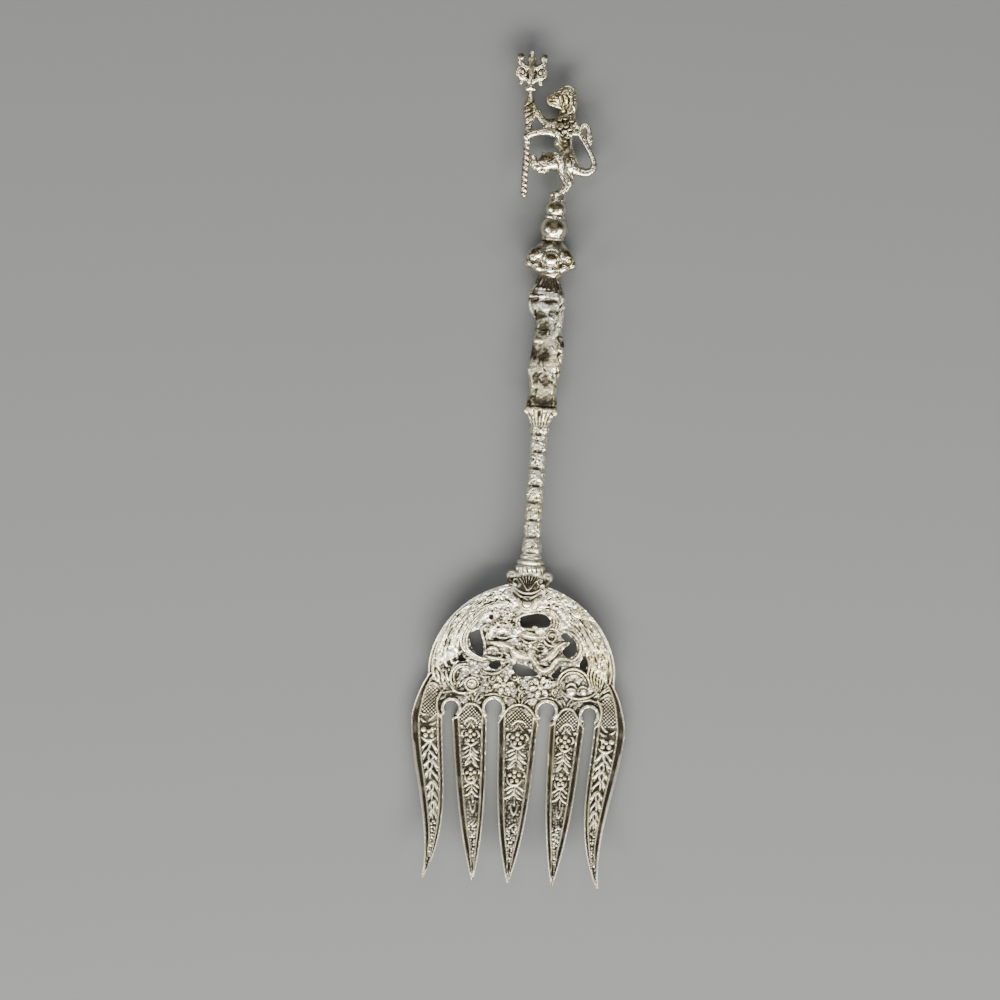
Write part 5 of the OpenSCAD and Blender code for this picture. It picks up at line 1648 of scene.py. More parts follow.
@dataclass
class Neck(Casting):
    """Palmette between scrolled ears, with the fluted collar above it."""

    name: str = "neck_and_collar"
    voxel: float = 0.15
    lump: float = 0.06
    look: Finish = Finish.CHASED
    dull: float = 0.12

    def shapes(self, bm: bmesh.types.BMesh) -> None:
        """Palmette, ears and rings."""
        self.turned(bm, [
            (80.6, 2.2, 2.4, 0.9), (83.0, 3.4, 3.6, 1.2), (85.5, 4.8, 4.9, 1.5), (88.0, 6.1, 6.0, 1.8),
            (89.6, 6.2, 5.9, 1.9), (91.0, 5.6, 5.2, 2.1), (92.2, 4.0, 3.8, 2.4),
        ])
        self.turned(bm, [
            (91.4, 3.0, 3.0, 2.4), (92.2, 4.1, 4.1, 3.2), (92.8, 4.5, 4.5, 3.5), (93.5, 4.45, 4.45, 3.45),
            (94.0, 4.0, 4.0, 3.1), (94.25, 3.7, 3.7, 2.9), (94.5, 4.15, 4.15, 3.2), (95.0, 4.25, 4.25, 3.3),
            (95.5, 3.8, 3.8, 3.0), (95.85, 3.2, 3.2, 2.8), (96.1, 3.35, 3.35, 2.85), (96.7, 3.35, 3.35, 2.85),
            (97.1, 3.0, 3.0, 2.6), (97.7, 2.6, 2.6, 2.4), (98.4, 2.7, 2.7, 2.5),
        ], 64)
        for side in (-1, 1):
            x = self.offset + side * 5.6
            path = [(x + side * p[0], p[1], 0.5, 0.75, 1.3)
                    for p in ((-1.6, 88.0), (-0.2, 89.0), (0.7, 90.3), (0.3, 91.5), (-0.8, 91.6), (-0.9, 90.7))]
            self.limb(bm, path)
            self.ball(bm, x - side * 0.2, 90.7, 1.0, (0.8, 0.8, 1.2))
        self.ball(bm, 0.0, 82.7, 1.2, (2.2, 1.9, 1.2))

    def chase(self, front: Relief) -> None:
        """Veins of the palmette, the swags and the flutes."""
        for k in range(-3, 4):
            front.stroke([(0.1 + 0.1 * k, 86.4), (0.25 + 0.6 * k, 89.0), (0.3 + 1.05 * k, 91.4 - 0.12 * k * k)],
                         0.3, 0.55, Taper.BOTH, join=Join.ADD)
        for k in range(-3, 3):
            front.stroke([(0.4 + 0.1 * k, 86.8), (0.5 + 0.62 * k, 89.2), (0.8 + 1.05 * k, 91.2)],
                         0.26, 0.5, join=Join.CARVE)
        for y, w in ((86.0, 4.6), (84.6, 3.9)):
            front.stroke([(-w, y + 1.8), (-0.5 * w, y + 0.2), (0, y - 0.3), (0.5 * w, y + 0.2), (w, y + 1.8)],
                         0.42, 0.5, join=Join.ADD)
            front.stroke([(-w, y + 1.0), (-0.5 * w, y - 0.6), (0, y - 1.1), (0.5 * w, y - 0.6), (w, y + 1.0)],
                         0.3, 0.35, join=Join.CARVE)
        front.stroke(arc(0.1, 82.7, 1.5, 0, 350), 0.24, 0.4, Taper.NONE, join=Join.CARVE)
        front.stroke([(-3.4, 81.2), (-1.6, 80.2), (0.2, 80.0), (2.0, 80.4), (3.6, 81.6)], 0.4, 0.4, join=Join.ADD)
        for x in (-3.4, -2.0, -0.6, 0.9, 2.3, 3.7):
            front.stroke([(x + 0.2, 91.9), (x, 93.0), (x, 93.9)], 0.26, 0.5, Taper.END, join=Join.CARVE)
        for x, y in ((-5.0, 87.4), (4.6, 87.6), (-3.6, 89.0), (3.6, 89.2)):
            front.stroke(arc(x, y, 0.8, 20, 300), 0.25, 0.4, join=Join.ADD)

    def paint_shade_and_tarnish(self, shade_and_tarnish: Relief) -> None:
        """Darker palmette and ears: painted shade with some tarnish."""
        self.patches(shade_and_tarnish, (
            (0.0, 88.6, 5.6, 0.8, 0, 1.05), (-5.4, 88.6, 3.0, 0.8, 60, 0.95), (5.6, 88.8, 3.0, 0.8, 120, 0.95),
            (0.2, 84.2, 4.4, 0.4, 0, 0.8), (-3.4, 84.6, 2.4, 0.5, 120, 0.8), (3.6, 84.6, 2.4, 0.5, 60, 0.8),
        ))


@dataclass
class Stem(Casting):
    """Rustic stem gathered at even knots."""

    name: str = "stem"
    voxel: float = 0.15
    lump: float = 0.2
    lump_size: float = 0.95
    look: Finish = Finish.SANDY
    dull: float = 0.08
    knots: tuple[float, ...] = (97.6, 102.4, 107.4, 112.7, 117.6, 122.8, 127.8, 132.9)

    def half(self, y: float) -> float:
        """Half the stem's width at a place along, without its knots."""
        return 2.5 + 0.55 * math.exp(-((y - 97.5) / 3.2) ** 2) + 0.35 * max(0.0, (y - 131.5) / 3.0)

    def shapes(self, bm: bmesh.types.BMesh) -> None:
        """One long form with a groove at each knot."""
        stations = []
        for i in range(150):
            y = 97.2 + 38.0 * i / 149
            groove = sum(0.34 * math.exp(-(((y - k) / 0.42) ** 2)) for k in self.knots)
            swell = 0.1 * sum(math.exp(-(((y - k - 2.3) / 1.5) ** 2)) for k in self.knots)
            r = self.half(y) - groove + swell
            stations.append((y, r, r, r))
        self.turned(bm, stations)

    def chase(self, front: Relief) -> None:
        """Crumpled folds between the knots."""
        rng = np.random.default_rng(21)
        for knot in self.knots:
            front.stroke([(-1.0, knot + 0.2), (0.5, knot), (1.8, knot + 0.3)], 0.5, 0.22, join=Join.CARVE)
            for _ in range(7):
                x, y = rng.uniform(-1.9, 2.6), knot + rng.uniform(0.8, 4.2)
                dx, dy = rng.uniform(-1.1, 1.1), rng.uniform(-0.9, 0.9)
                join = Join.CARVE if rng.random() < 0.5 else Join.ADD
                front.stroke([(x, y), (x + dx, y + dy)], rng.uniform(0.35, 0.6), rng.uniform(0.2, 0.36), join=join)

    def paint_shade_and_tarnish(self, shade_and_tarnish: Relief) -> None:
        """Dark patches at the knots."""
        self.patches(shade_and_tarnish, [(0.3 * (-1) ** i, knot + 0.2, 2.0, 0.5, 0, 0.85) for i, knot in enumerate(self.knots)])
        self.patches(shade_and_tarnish, [(0.4, 135.0, 1.5, 0.7, 90, 0.8), (0.0, 130.4, 1.4, 0.5, 0, 0.6),
                             (-0.6, 109.8, 1.3, 0.5, 60, 0.5), (0.9, 120.4, 1.3, 0.5, 120, 0.5),
                             (0.6, 100.2, 1.2, 0.5, 70, 0.5), (-0.5, 125.2, 1.3, 0.5, 40, 0.5)])


@dataclass
class Figure(Casting):
    """Draped figure in a cup of leaves."""

    name: str = "figure"
    voxel: float = 0.165
    lump: float = 0.14
    lump_size: float = 1.0
    dull: float = 0.12
    look: Finish = Finish.SANDY

    def shapes(self, bm: bmesh.types.BMesh) -> None:
        """Calyx, gown, arms and the drapery's main folds."""
        o = self.offset
        self.turned(bm, [
            (133.6, 2.3, 2.5, 2.4), (135.0, 2.5, 2.7, 2.6), (136.5, 3.1, 3.1, 2.9), (138.5, 4.0, 4.0, 3.4),
            (140.2, 4.8, 4.6, 3.9), (140.9, 4.6, 4.5, 3.8), (141.2, 3.8, 3.9, 3.2),
        ])
        self.turned(bm, [(y, -left + o, right - o, depth) for y, left, right, depth in (
            (140.4, -3.9, 4.6, 3.0), (142, -4.0, 5.1, 3.1), (144, -3.6, 4.8, 3.0), (146, -3.3, 4.5, 3.0),
            (149, -3.7, 4.8, 3.2), (151.8, -4.5, 5.5, 3.5), (154, -4.1, 5.7, 3.5), (156, -3.8, 6.0, 3.5),
            (159, -3.4, 6.2, 3.4), (161, -3.1, 5.7, 3.2), (164, -2.9, 4.9, 2.9), (167, -3.0, 4.9, 2.9),
            (170, -4.2, 5.2, 3.2), (172, -5.2, 5.5, 3.3), (174, -5.9, 5.3, 3.3), (176, -5.2, 4.4, 3.1),
            (178, -4.0, 3.6, 2.9), (180, -3.0, 3.1, 2.7), (181.4, -2.8, 3.0, 2.6),
        )])
        for path in (
            [(-5.0, 173.7, 1.9, 0.6, 1.0), (-1.2, 173.9, 2.7, 0.5, 0.8), (3.2, 173.8, 2.2, 0.5, 0.8)],
            [(-2.9, 171.4, 2.0, 0.55, 0.9), (-0.3, 170.1, 2.5, 0.75, 1.0), (2.4, 171.3, 2.1, 0.55, 0.8)],
            [(-5.1, 172.2, 0.8, 0.7, 1.1), (-4.3, 169.6, 1.3, 0.7, 1.1), (-3.3, 167.8, 1.6, 0.5, 0.8)],
            [(4.6, 173.4, 1.0, 0.9, 1.1), (4.5, 170.0, 1.6, 0.9, 1.1), (4.0, 165.6, 1.7, 1.1, 1.2),
             (2.6, 162.2, 2.0, 1.1, 1.1), (0.4, 160.9, 2.4, 1.0, 0.9), (-2.4, 160.7, 1.9, 0.9, 0.9)],
            [(5.3, 159.0, 0.9, 0.9, 1.3), (4.9, 156.0, 1.7, 1.1, 1.3), (3.2, 153.4, 2.3, 1.0, 1.0),
             (0.8, 152.4, 2.6, 0.9, 0.9), (-1.2, 153.6, 2.2, 0.5, 0.8)],
            [(-4.0, 152.2, 1.0, 0.7, 1.0), (-3.0, 149.6, 1.7, 0.55, 0.9), (-2.6, 147.0, 1.8, 0.4, 0.8)],
            [(4.8, 151.6, 1.0, 0.7, 1.0), (3.6, 148.6, 1.8, 0.55, 0.9), (3.2, 145.4, 1.8, 0.5, 0.8)],
            [(0.6, 151.4, 2.3, 0.5, 0.8), (0.7, 148.6, 2.2, 0.45, 0.8), (1.6, 146.2, 1.9, 0.5, 0.7)],
        ):
            self.limb(bm, path)
        for k in range(5):
            x = -3.5 + 2.0 * k
            self.ball(bm, x + 0.1, 139.9, 2.6 - 0.35 * abs(k - 2), (0.95, 1.4, 0.9))

    def chase(self, front: Relief) -> None:
        """Hollows and crumpled folds."""
        for x, y, r, ratio, turn, rise in (
            (-0.6, 164.2, 2.2, 0.75, 90, 0.9), (-0.2, 156.6, 2.4, 0.6, 75, 0.8), (-2.7, 156.8, 1.8, 0.35, 90, 0.6),
            (-0.6, 168.3, 2.4, 0.35, 0, 0.6), (0.2, 172.6, 2.6, 0.22, 5, 0.5), (4.9, 160.6, 1.4, 0.4, 110, 0.5),
            (-3.4, 172.8, 1.3, 0.5, 20, 0.6), (0.5, 148.9, 1.0, 0.6, 90, 0.4), (0.4, 142.9, 3.2, 0.4, 0, 0.35),
            (0.1, 139.4, 1.0, 0.45, 90, 0.5), (-1.4, 149.2, 1.4, 0.3, 90, 0.45), (2.4, 149.0, 1.2, 0.35, 80, 0.45),
            (-2.2, 137.6, 0.9, 0.35, 110, 0.3), (2.6, 137.8, 0.9, 0.35, 70, 0.3), (1.2, 137.0, 0.8, 0.4, 90, 0.3),
        ):
            front.dome(x, y, 1.15 * r, 0.8 * rise, ratio, turn, Join.CARVE, crest=Crest.SOFT)
        rng = np.random.default_rng(4)
        for _ in range(44):
            x, y = rng.uniform(-4.4, 5.4), rng.uniform(135, 180)
            a = rng.normal(90, 38) if y < 160 else rng.normal(0, 40)
            size = rng.uniform(0.6, 1.9)
            dx, dy = size * math.cos(math.radians(a)), size * math.sin(math.radians(a))
            join = Join.CARVE if rng.random() < 0.55 else Join.ADD
            front.stroke([(x - dx, y - dy), (x, y + 0.2), (x + dx, y + dy)], rng.uniform(0.3, 0.55),
                         rng.uniform(0.16, 0.4), join=join)
        for k in range(7):
            front.stroke([(-4.6 + 1.4 * k, 175.4), (-3.0 + 1.0 * k, 177.4), (-1.6 + 0.62 * k, 179.6)], 0.34, 0.26,
                         join=Join.CARVE)
        for k in range(6):
            front.stroke([(-1.8 + 0.8 * k, 135.4), (-2.6 + 1.1 * k, 137.4), (-3.6 + 1.5 * k, 140.2)], 0.36, 0.36,
                         join=Join.CARVE)

    def paint_shade_and_tarnish(self, shade_and_tarnish: Relief) -> None:
        """Dark hollows of the drapery and the cup over the head: painted shade with some tarnish."""
        self.patches(shade_and_tarnish, (
            (0.0, 178.2, 6.4, 0.8, 0, 1.0), (-3.2, 176.0, 3.6, 0.5, 60, 0.95), (3.2, 176.2, 3.4, 0.5, 120, 0.9),
            (-3.5, 172.5, 2.7, 0.6, 0, 1.05), (0.8, 172.3, 3.6, 0.42, 0, 1.0), (-2.0, 168.3, 3.2, 0.75, 0, 1.05),
            (1.8, 168.9, 3.2, 0.55, 20, 0.95), (-0.5, 164.4, 4.2, 0.85, 90, 1.1), (4.9, 160.7, 2.7, 0.65, 110, 1.05),
            (-3.1, 157.0, 3.7, 0.6, 95, 1.05), (-0.1, 156.3, 4.6, 0.75, 80, 1.1), (-1.7, 149.7, 3.4, 0.5, 90, 0.95),
            (1.1, 148.9, 3.4, 0.65, 90, 1.0), (0.3, 142.6, 8.0, 0.42, 0, 0.95), (-0.1, 139.0, 1.9, 0.5, 90, 0.8),
            (3.0, 150.0, 2.0, 0.4, 80, 0.8), (-1.5, 145.6, 2.0, 0.5, 80, 0.7), (2.6, 165.4, 1.6, 0.5, 100, 0.6),
        ))


@dataclass
class Knop(Casting):
    """Lobed knop with a boss, and two balls above it."""

    name: str = "knop_and_balls"
    voxel: float = 0.165
    lump: float = 0.08
    lump_size: float = 1.3
    dull: float = 0.08

    def shapes(self, bm: bmesh.types.BMesh) -> None:
        """Knop, lobes, bosses and balls."""
        self.turned(bm, [
            (179.6, 2.9, 2.8, 2.6), (180.8, 3.4, 3.9, 2.9), (181.6, 4.9, 5.1, 3.4), (182.6, 6.0, 6.2, 3.9),
            (184.2, 7.0, 6.8, 4.5), (185.6, 7.1, 6.9, 4.6), (187.0, 6.5, 6.3, 4.4), (188.4, 5.2, 4.9, 3.8),
            (189.8, 3.9, 3.7, 3.3), (190.8, 3.0, 3.1, 2.8), (191.4, 3.3, 3.4, 3.1), (192.0, 3.2, 3.3, 3.0),
        ])
        self.ball(bm, 0.55, 194.1, 0.0, (4.1, 4.1, 4.1))
        self.ball(bm, 0.75, 200.0, 0.0, (3.25, 3.2, 3.2))
        self.turned(bm, [(190.4, 2.9, 3.0, 2.8), (191.0, 3.4, 3.5, 3.2), (191.5, 3.4, 3.5, 3.2), (192.0, 3.0, 3.1, 2.9)])
        self.turned(bm, [(197.0, 2.7, 3.3, 2.9), (197.6, 2.9, 3.5, 3.1), (198.1, 2.7, 3.3, 3.0)])
        self.turned(bm, [(202.0, 2.0, 2.8, 2.1), (202.8, 1.8, 3.1, 2.1), (204.6, 1.8, 3.2, 2.0), (205.0, 1.4, 2.8, 1.7)])
        for front in (-1, 1):
            for x, y, z, radii, turn in (
                (-4.0, 186.2, 2.6, (3.3, 2.3, 2.7), 30), (4.6, 186.0, 2.6, (3.2, 2.3, 2.7), -30),
                (-6.1, 183.7, 1.2, (1.8, 1.5, 2.8), 35), (6.4, 183.8, 1.2, (1.8, 1.5, 2.8), -35),
                (-3.7, 182.5, 2.5, (2.5, 1.4, 2.1), -35), (4.4, 182.5, 2.5, (2.3, 1.4, 2.1), 35),
                (0.35, 184.9, 3.3, (2.5, 2.3, 2.3), 0), (0.3, 181.8, 3.0, (2.2, 1.4, 1.8), 0),
            ):
                self.ball(bm, x, y, front * z, radii, turn)

    def chase(self, front: Relief) -> None:
        """Cuts round the boss and over the lobes."""
        front.stroke(arc(0.35, 184.9, 2.6, -30, 210), 0.4, 0.4, join=Join.CARVE)
        front.stroke([(-2.2, 183.2), (-3.4, 184.0), (-5.2, 183.6), (-6.6, 184.9)], 0.4, 0.4, join=Join.CARVE)
        front.stroke([(2.9, 183.2), (4.2, 184.0), (5.8, 183.7), (7.0, 184.9)], 0.4, 0.4, join=Join.CARVE)
        front.stroke([(-6.0, 186.2), (-4.6, 187.9), (-2.4, 188.3)], 0.36, 0.25, join=Join.CARVE)
        front.stroke([(6.4, 186.2), (5.0, 187.9), (2.8, 188.3)], 0.36, 0.25, join=Join.CARVE)
        front.dome(-4.9, 185.6, 0.9, 0.25, 0.6, 20, Join.CARVE, crest=Crest.SOFT)
        front.dome(5.4, 185.4, 0.9, 0.25, 0.6, -20, Join.CARVE, crest=Crest.SOFT)
        for side in (-1, 1):
            o = self.offset
            front.stroke([(o + side * 2.4, 184.6), (o + side * 4.2, 184.5), (o + side * 6.2, 185.6)], 0.4, 0.3,
                         join=Join.CARVE)
            front.stroke([(o + side * 5.2, 182.2), (o + side * 6.4, 182.9), (o + side * 7.2, 184.0)], 0.3, 0.25,
                         join=Join.ADD)

    def paint_shade_and_tarnish(self, shade_and_tarnish: Relief) -> None:
        """Painted shade on the upper sides of the lobes and the balls."""
        self.patches(shade_and_tarnish, (
            (0.55, 194.9, 3.8, 0.5, 0, 1.3), (0.75, 200.6, 2.9, 0.5, 0, 1.25), (-4.4, 186.8, 3.2, 0.5, 30, 1.0),
            (4.9, 186.7, 3.2, 0.5, -30, 1.0), (0.35, 185.5, 2.3, 0.6, 0, 1.2), (0.3, 190.0, 4.6, 0.5, 0, 0.95),
            (-2.3, 183.0, 1.5, 0.8, 0, 0.95), (3.0, 183.0, 1.5, 0.8, 0, 0.95), (-6.2, 184.6, 1.5, 0.5, 40, 0.8),
            (6.7, 184.7, 1.5, 0.5, -40, 0.8), (-4.9, 182.6, 1.2, 0.5, -35, 0.6), (5.4, 182.6, 1.2, 0.5, 35, 0.6),
        ))


@dataclass
class Lion(Casting):
    """Lion that walks upright and faces left."""

    name: str = "lion"
    voxel: float = 0.15
    lump: float = 0.08
    lump_size: float = 0.9
    dull: float = 0.17
    swell: float = 0.06

    def shapes(self, bm: bmesh.types.BMesh) -> None:
        """Legs, body, tail, head and mane."""
        for path in (
            [(-0.8, 204.2, 0, 0.7, 1.6), (1.2, 204.6, 0, 1.1, 1.7), (2.7, 205.5, 0, 1.2, 1.6),
             (3.7, 206.9, 0, 1.3, 1.6), (4.0, 208.4, 0, 1.75, 1.8), (3.1, 210.3, 0, 2.0, 2.1),
             (2.6, 212.4, 0, 2.5, 2.4), (2.9, 214.5, 0, 3.2, 2.6)],
            [(4.6, 208.2, 0, 1.0, 1.3), (5.4, 207.8, 0, 0.55, 0.9)],
            [(3.8, 213.4, 0, 3.0, 2.5), (3.2, 215.6, 0, 2.7, 2.5), (2.6, 217.8, 0, 2.2, 2.3),
             (1.9, 220.0, 0, 2.5, 2.4), (1.7, 222.6, 0, 2.9, 2.6), (2.0, 225.5, 0, 2.8, 2.6), (2.2, 228.5, 0, 2.3, 2.5)],
            [(2.6, 213.9, 0.3, 2.7, 2.2), (0.0, 214.2, 0.7, 2.7, 2.0), (-2.4, 213.8, 0.9, 2.5, 1.8),
             (-4.3, 212.9, 0.9, 2.1, 1.5), (-6.0, 212.7, 0.8, 1.6, 1.3), (-6.8, 214.0, 0.7, 1.2, 1.1),
             (-7.0, 215.3, 0.6, 0.8, 0.9)],
            [(-3.9, 214.6, 0.7, 1.0, 1.2), (-4.1, 216.3, 0.6, 0.5, 0.8)],
            [(-2.6, 215.2, 0.6, 0.9, 1.1), (-2.6, 216.4, 0.5, 0.45, 0.7)],
            [(0.8, 225.6, -0.6, 1.7, 1.8), (-1.8, 225.4, -0.8, 1.5, 1.5), (-4.0, 225.6, -0.8, 1.2, 1.2),
             (-5.6, 226.8, -0.7, 1.0, 1.1), (-6.8, 228.6, -0.6, 1.1, 1.1)],
            [(1.2, 222.0, 0.8, 1.7, 1.7), (-1.6, 222.5, 1.1, 1.2, 1.3), (-4.2, 222.7, 1.1, 1.05, 1.2),
             (-6.6, 222.3, 1.0, 1.0, 1.1), (-8.6, 221.5, 0.8, 1.1, 1.1), (-9.6, 220.8, 0.6, 1.1, 1.1)],
            [(4.6, 212.6, 0, 1.8, 1.7), (6.8, 211.8, 0, 1.45, 1.4), (8.8, 211.4, 0, 1.3, 1.2),
             (10.5, 212.1, 0, 1.1, 1.1), (11.2, 213.6, 0, 0.95, 1.0), (10.9, 215.5, 0, 0.9, 0.95),
             (9.8, 217.7, 0, 0.8, 0.9), (8.2, 220.2, 0, 0.8, 0.9), (6.8, 222.4, 0, 0.85, 0.9),
             (6.6, 224.3, 0, 0.7, 0.8), (7.3, 225.6, 0, 0.7, 0.8), (8.4, 225.4, 0, 0.7, 0.8),
             (9.0, 224.1, 0, 0.75, 0.85), (9.3, 222.6, 0, 0.95, 0.95), (9.6, 221.1, 0, 0.9, 0.9),
             (9.6, 220.0, 0, 0.5, 0.6)],
            [(3.6, 222.9, 0, 0.9, 1.2), (5.4, 222.9, 0, 0.8, 1.0), (6.8, 222.8, 0, 0.6, 0.8)],
            [(3.0, 233.4, 0, 2.0, 2.3), (3.2, 230.8, 0, 1.8, 2.4), (2.7, 228.2, 0, 1.9, 2.5), (3.0, 225.6, 0, 1.9, 2.4)],
            [(-0.2, 233.3, 0.4, 1.7, 1.4), (-2.4, 232.9, 0.4, 1.25, 1.2), (-3.8, 232.2, 0.4, 0.65, 0.8)],
            [(0.6, 230.4, 0.2, 1.0, 1.2), (-1.6, 230.9, 0.3, 0.8, 0.9), (-3.4, 231.2, 0.3, 0.45, 0.6)],
        ):
            self.limb(bm, path)
        self.ball(bm, 1.6, 233.9, 0.1, (3.0, 3.4, 2.5), -25)
        self.ball(bm, -1.0, 232.8, 0.2, (2.3, 1.9, 1.8), 20)
        self.ball(bm, -1.8, 224.2, -0.2, (3.2, 1.6, 1.1))
        self.ball(bm, 0.2, 219.8, 0.0, (1.4, 1.6, 1.6))
        self.ball(bm, -3.9, 211.4, 0.9, (1.9, 1.3, 1.2))
        for x, y, r in ((4.1, 234.6, 0.85), (4.25, 232.8, 0.9), (4.3, 231.0, 0.85), (4.0, 229.3, 0.8),
                        (4.0, 227.6, 0.8), (4.6, 226.2, 0.85), (5.3, 225.0, 0.8), (3.4, 236.0, 0.9), (4.4, 224.0, 0.75)):
            self.ball(bm, x, y, 0, (r, r * 1.15, 1.5))

    def chase(self, front: Relief) -> None:
        """Mane, face, ribs and paws."""
        for x in (-0.2, 1.4, 3.0):
            front.stroke([(x - 1.0, 234.0), (x - 0.1, 233.4), (x + 0.35, 232.2), (x + 0.1, 230.9)], 0.6, 0.5,
                         join=Join.ADD)
            front.stroke([(x - 0.2, 234.3), (x + 0.7, 233.3), (x + 1.0, 232.0), (x + 0.7, 230.9)], 0.3, 0.55,
                         join=Join.CARVE)
        for path in ([(-0.8, 235.0), (0.8, 236.2), (2.6, 236.3), (4.0, 235.0)], [(0.6, 234.6), (2.2, 235.2), (3.8, 234.4)]):
            front.stroke(path, 0.34, 0.22, join=Join.CARVE)
        for x, y, r, start in ((0.4, 229.8, 1.5, -155), (2.9, 229.4, 1.2, -120), (1.5, 227.6, 1.5, -170),
                               (3.7, 226.8, 1.1, -140), (-0.1, 226.9, 1.0, -160), (1.9, 225.2, 1.4, -150),
                               (0.2, 224.3, 1.1, -170), (3.3, 224.2, 1.0, -130), (1.1, 222.6, 1.2, -160),
                               (2.7, 221.7, 1.0, -150)):
            front.stroke(arc(x, y, r, start, start + 185), 0.36, 0.5, join=Join.CARVE)
            front.stroke(arc(x, y, r - 0.6, start + 20, start + 160), 0.42, 0.4, join=Join.ADD)
        rng = np.random.default_rng(9)
        for _ in range(120):
            x, y = rng.uniform(-6.5, 5.5), rng.uniform(205, 237)
            a, size = math.radians(rng.normal(-55, 32)), rng.uniform(0.4, 0.8)
            way = (size * math.cos(a), size * math.sin(a))
            join = Join.CARVE if rng.random() < 0.6 else Join.ADD
            front.stroke([(x - way[0], y - way[1]), (x, y + 0.1), (x + way[0], y + way[1])], 0.28, 0.2, join=join)
        for path in ([(-0.4, 214.8), (0.6, 213.2), (0.5, 211.6)], [(1.8, 215.4), (2.6, 213.6), (2.2, 211.8)],
                     [(3.8, 215.6), (4.6, 214.0), (4.4, 212.6)], [(-3.2, 213.6), (-1.8, 214.4), (-0.4, 215.4)],
                     [(-5.4, 213.6), (-4.4, 212.6), (-2.8, 212.4)], [(1.2, 210.6), (2.4, 209.4), (3.0, 208.2)]):
            front.stroke(path, 0.34, 0.35, join=Join.CARVE)
        front.dome(-1.0, 233.7, 0.62, 0.5, 0.7, 20, Join.CARVE)
        front.dome(-1.05, 233.65, 0.32, 0.35, join=Join.ADD)
        front.stroke([(-4.1, 231.7), (-2.4, 231.9), (-0.8, 231.5)], 0.3, 0.4, join=Join.CARVE)
        front.stroke([(-4.0, 232.2), (-2.4, 232.5), (-0.4, 232.3), (1.0, 231.8)], 0.3, 0.3, join=Join.ADD)
        front.stroke([(-2.4, 234.4), (-1.0, 234.8), (0.2, 235.2)], 0.28, 0.3, join=Join.ADD)
        for k in range(4):
            front.stroke([(0.2, 219.4 + 1.2 * k), (1.6, 218.6 + 1.2 * k), (3.0, 218.9 + 1.2 * k)], 0.34, 0.32,
                         join=Join.CARVE)
        for x, y in ((-7.6, 214.8), (-7.0, 214.2), (-6.4, 227.6), (-9.6, 221.4), (-9.0, 220.6), (0.2, 204.2)):
            front.stroke([(x - 0.6, y + 0.5), (x + 0.2, y - 0.3)], 0.2, 0.3, join=Join.CARVE)
        front.stroke([(1.4, 210.2), (2.6, 208.4), (3.6, 206.8)], 0.3, 0.35, join=Join.ADD)
        front.stroke([(3.4, 211.2), (4.4, 209.6), (4.9, 208.4)], 0.24, 0.3, join=Join.CARVE)
        for k in range(8):
            y = 212.6 + 1.5 * k
            x = 11.0 - 0.1 * max(0, y - 214) ** 1.35
            front.stroke([(x - 0.7, y), (x + 0.6, y + 0.7)], 0.16, 0.16, join=Join.CARVE)

    def paint_shade_and_tarnish(self, shade_and_tarnish: Relief) -> None:
        """Painted shade with some tarnish on the fur, the mane and the upper sides of the limbs."""
        self.patches(shade_and_tarnish, (
            (2.2, 219.4, 3.4, 0.8, 80, 0.75), (1.8, 226.6, 3.4, 0.8, 90, 0.7), (-3.0, 214.9, 4.2, 0.4, 8, 0.9),
            (-2.4, 226.3, 3.4, 0.4, 0, 0.65), (3.0, 215.4, 3.2, 0.7, 60, 0.8), (3.4, 208.6, 2.2, 0.5, 60, 0.7),
            (0.2, 235.0, 1.6, 0.5, 30, 0.6), (2.8, 211.6, 2.0, 0.5, 90, 0.4), (0.6, 204.8, 2.0, 0.5, 0, 0.4),
            (-1.2, 233.6, 1.1, 0.7, 0, 0.6), (-6.6, 213.6, 1.4, 0.5, 80, 0.5), (9.4, 222.6, 1.6, 0.4, 90, 0.5),
            (0.4, 231.6, 1.2, 0.5, 0, 0.4), (3.2, 229.8, 1.4, 0.6, 90, 0.5),
        ))


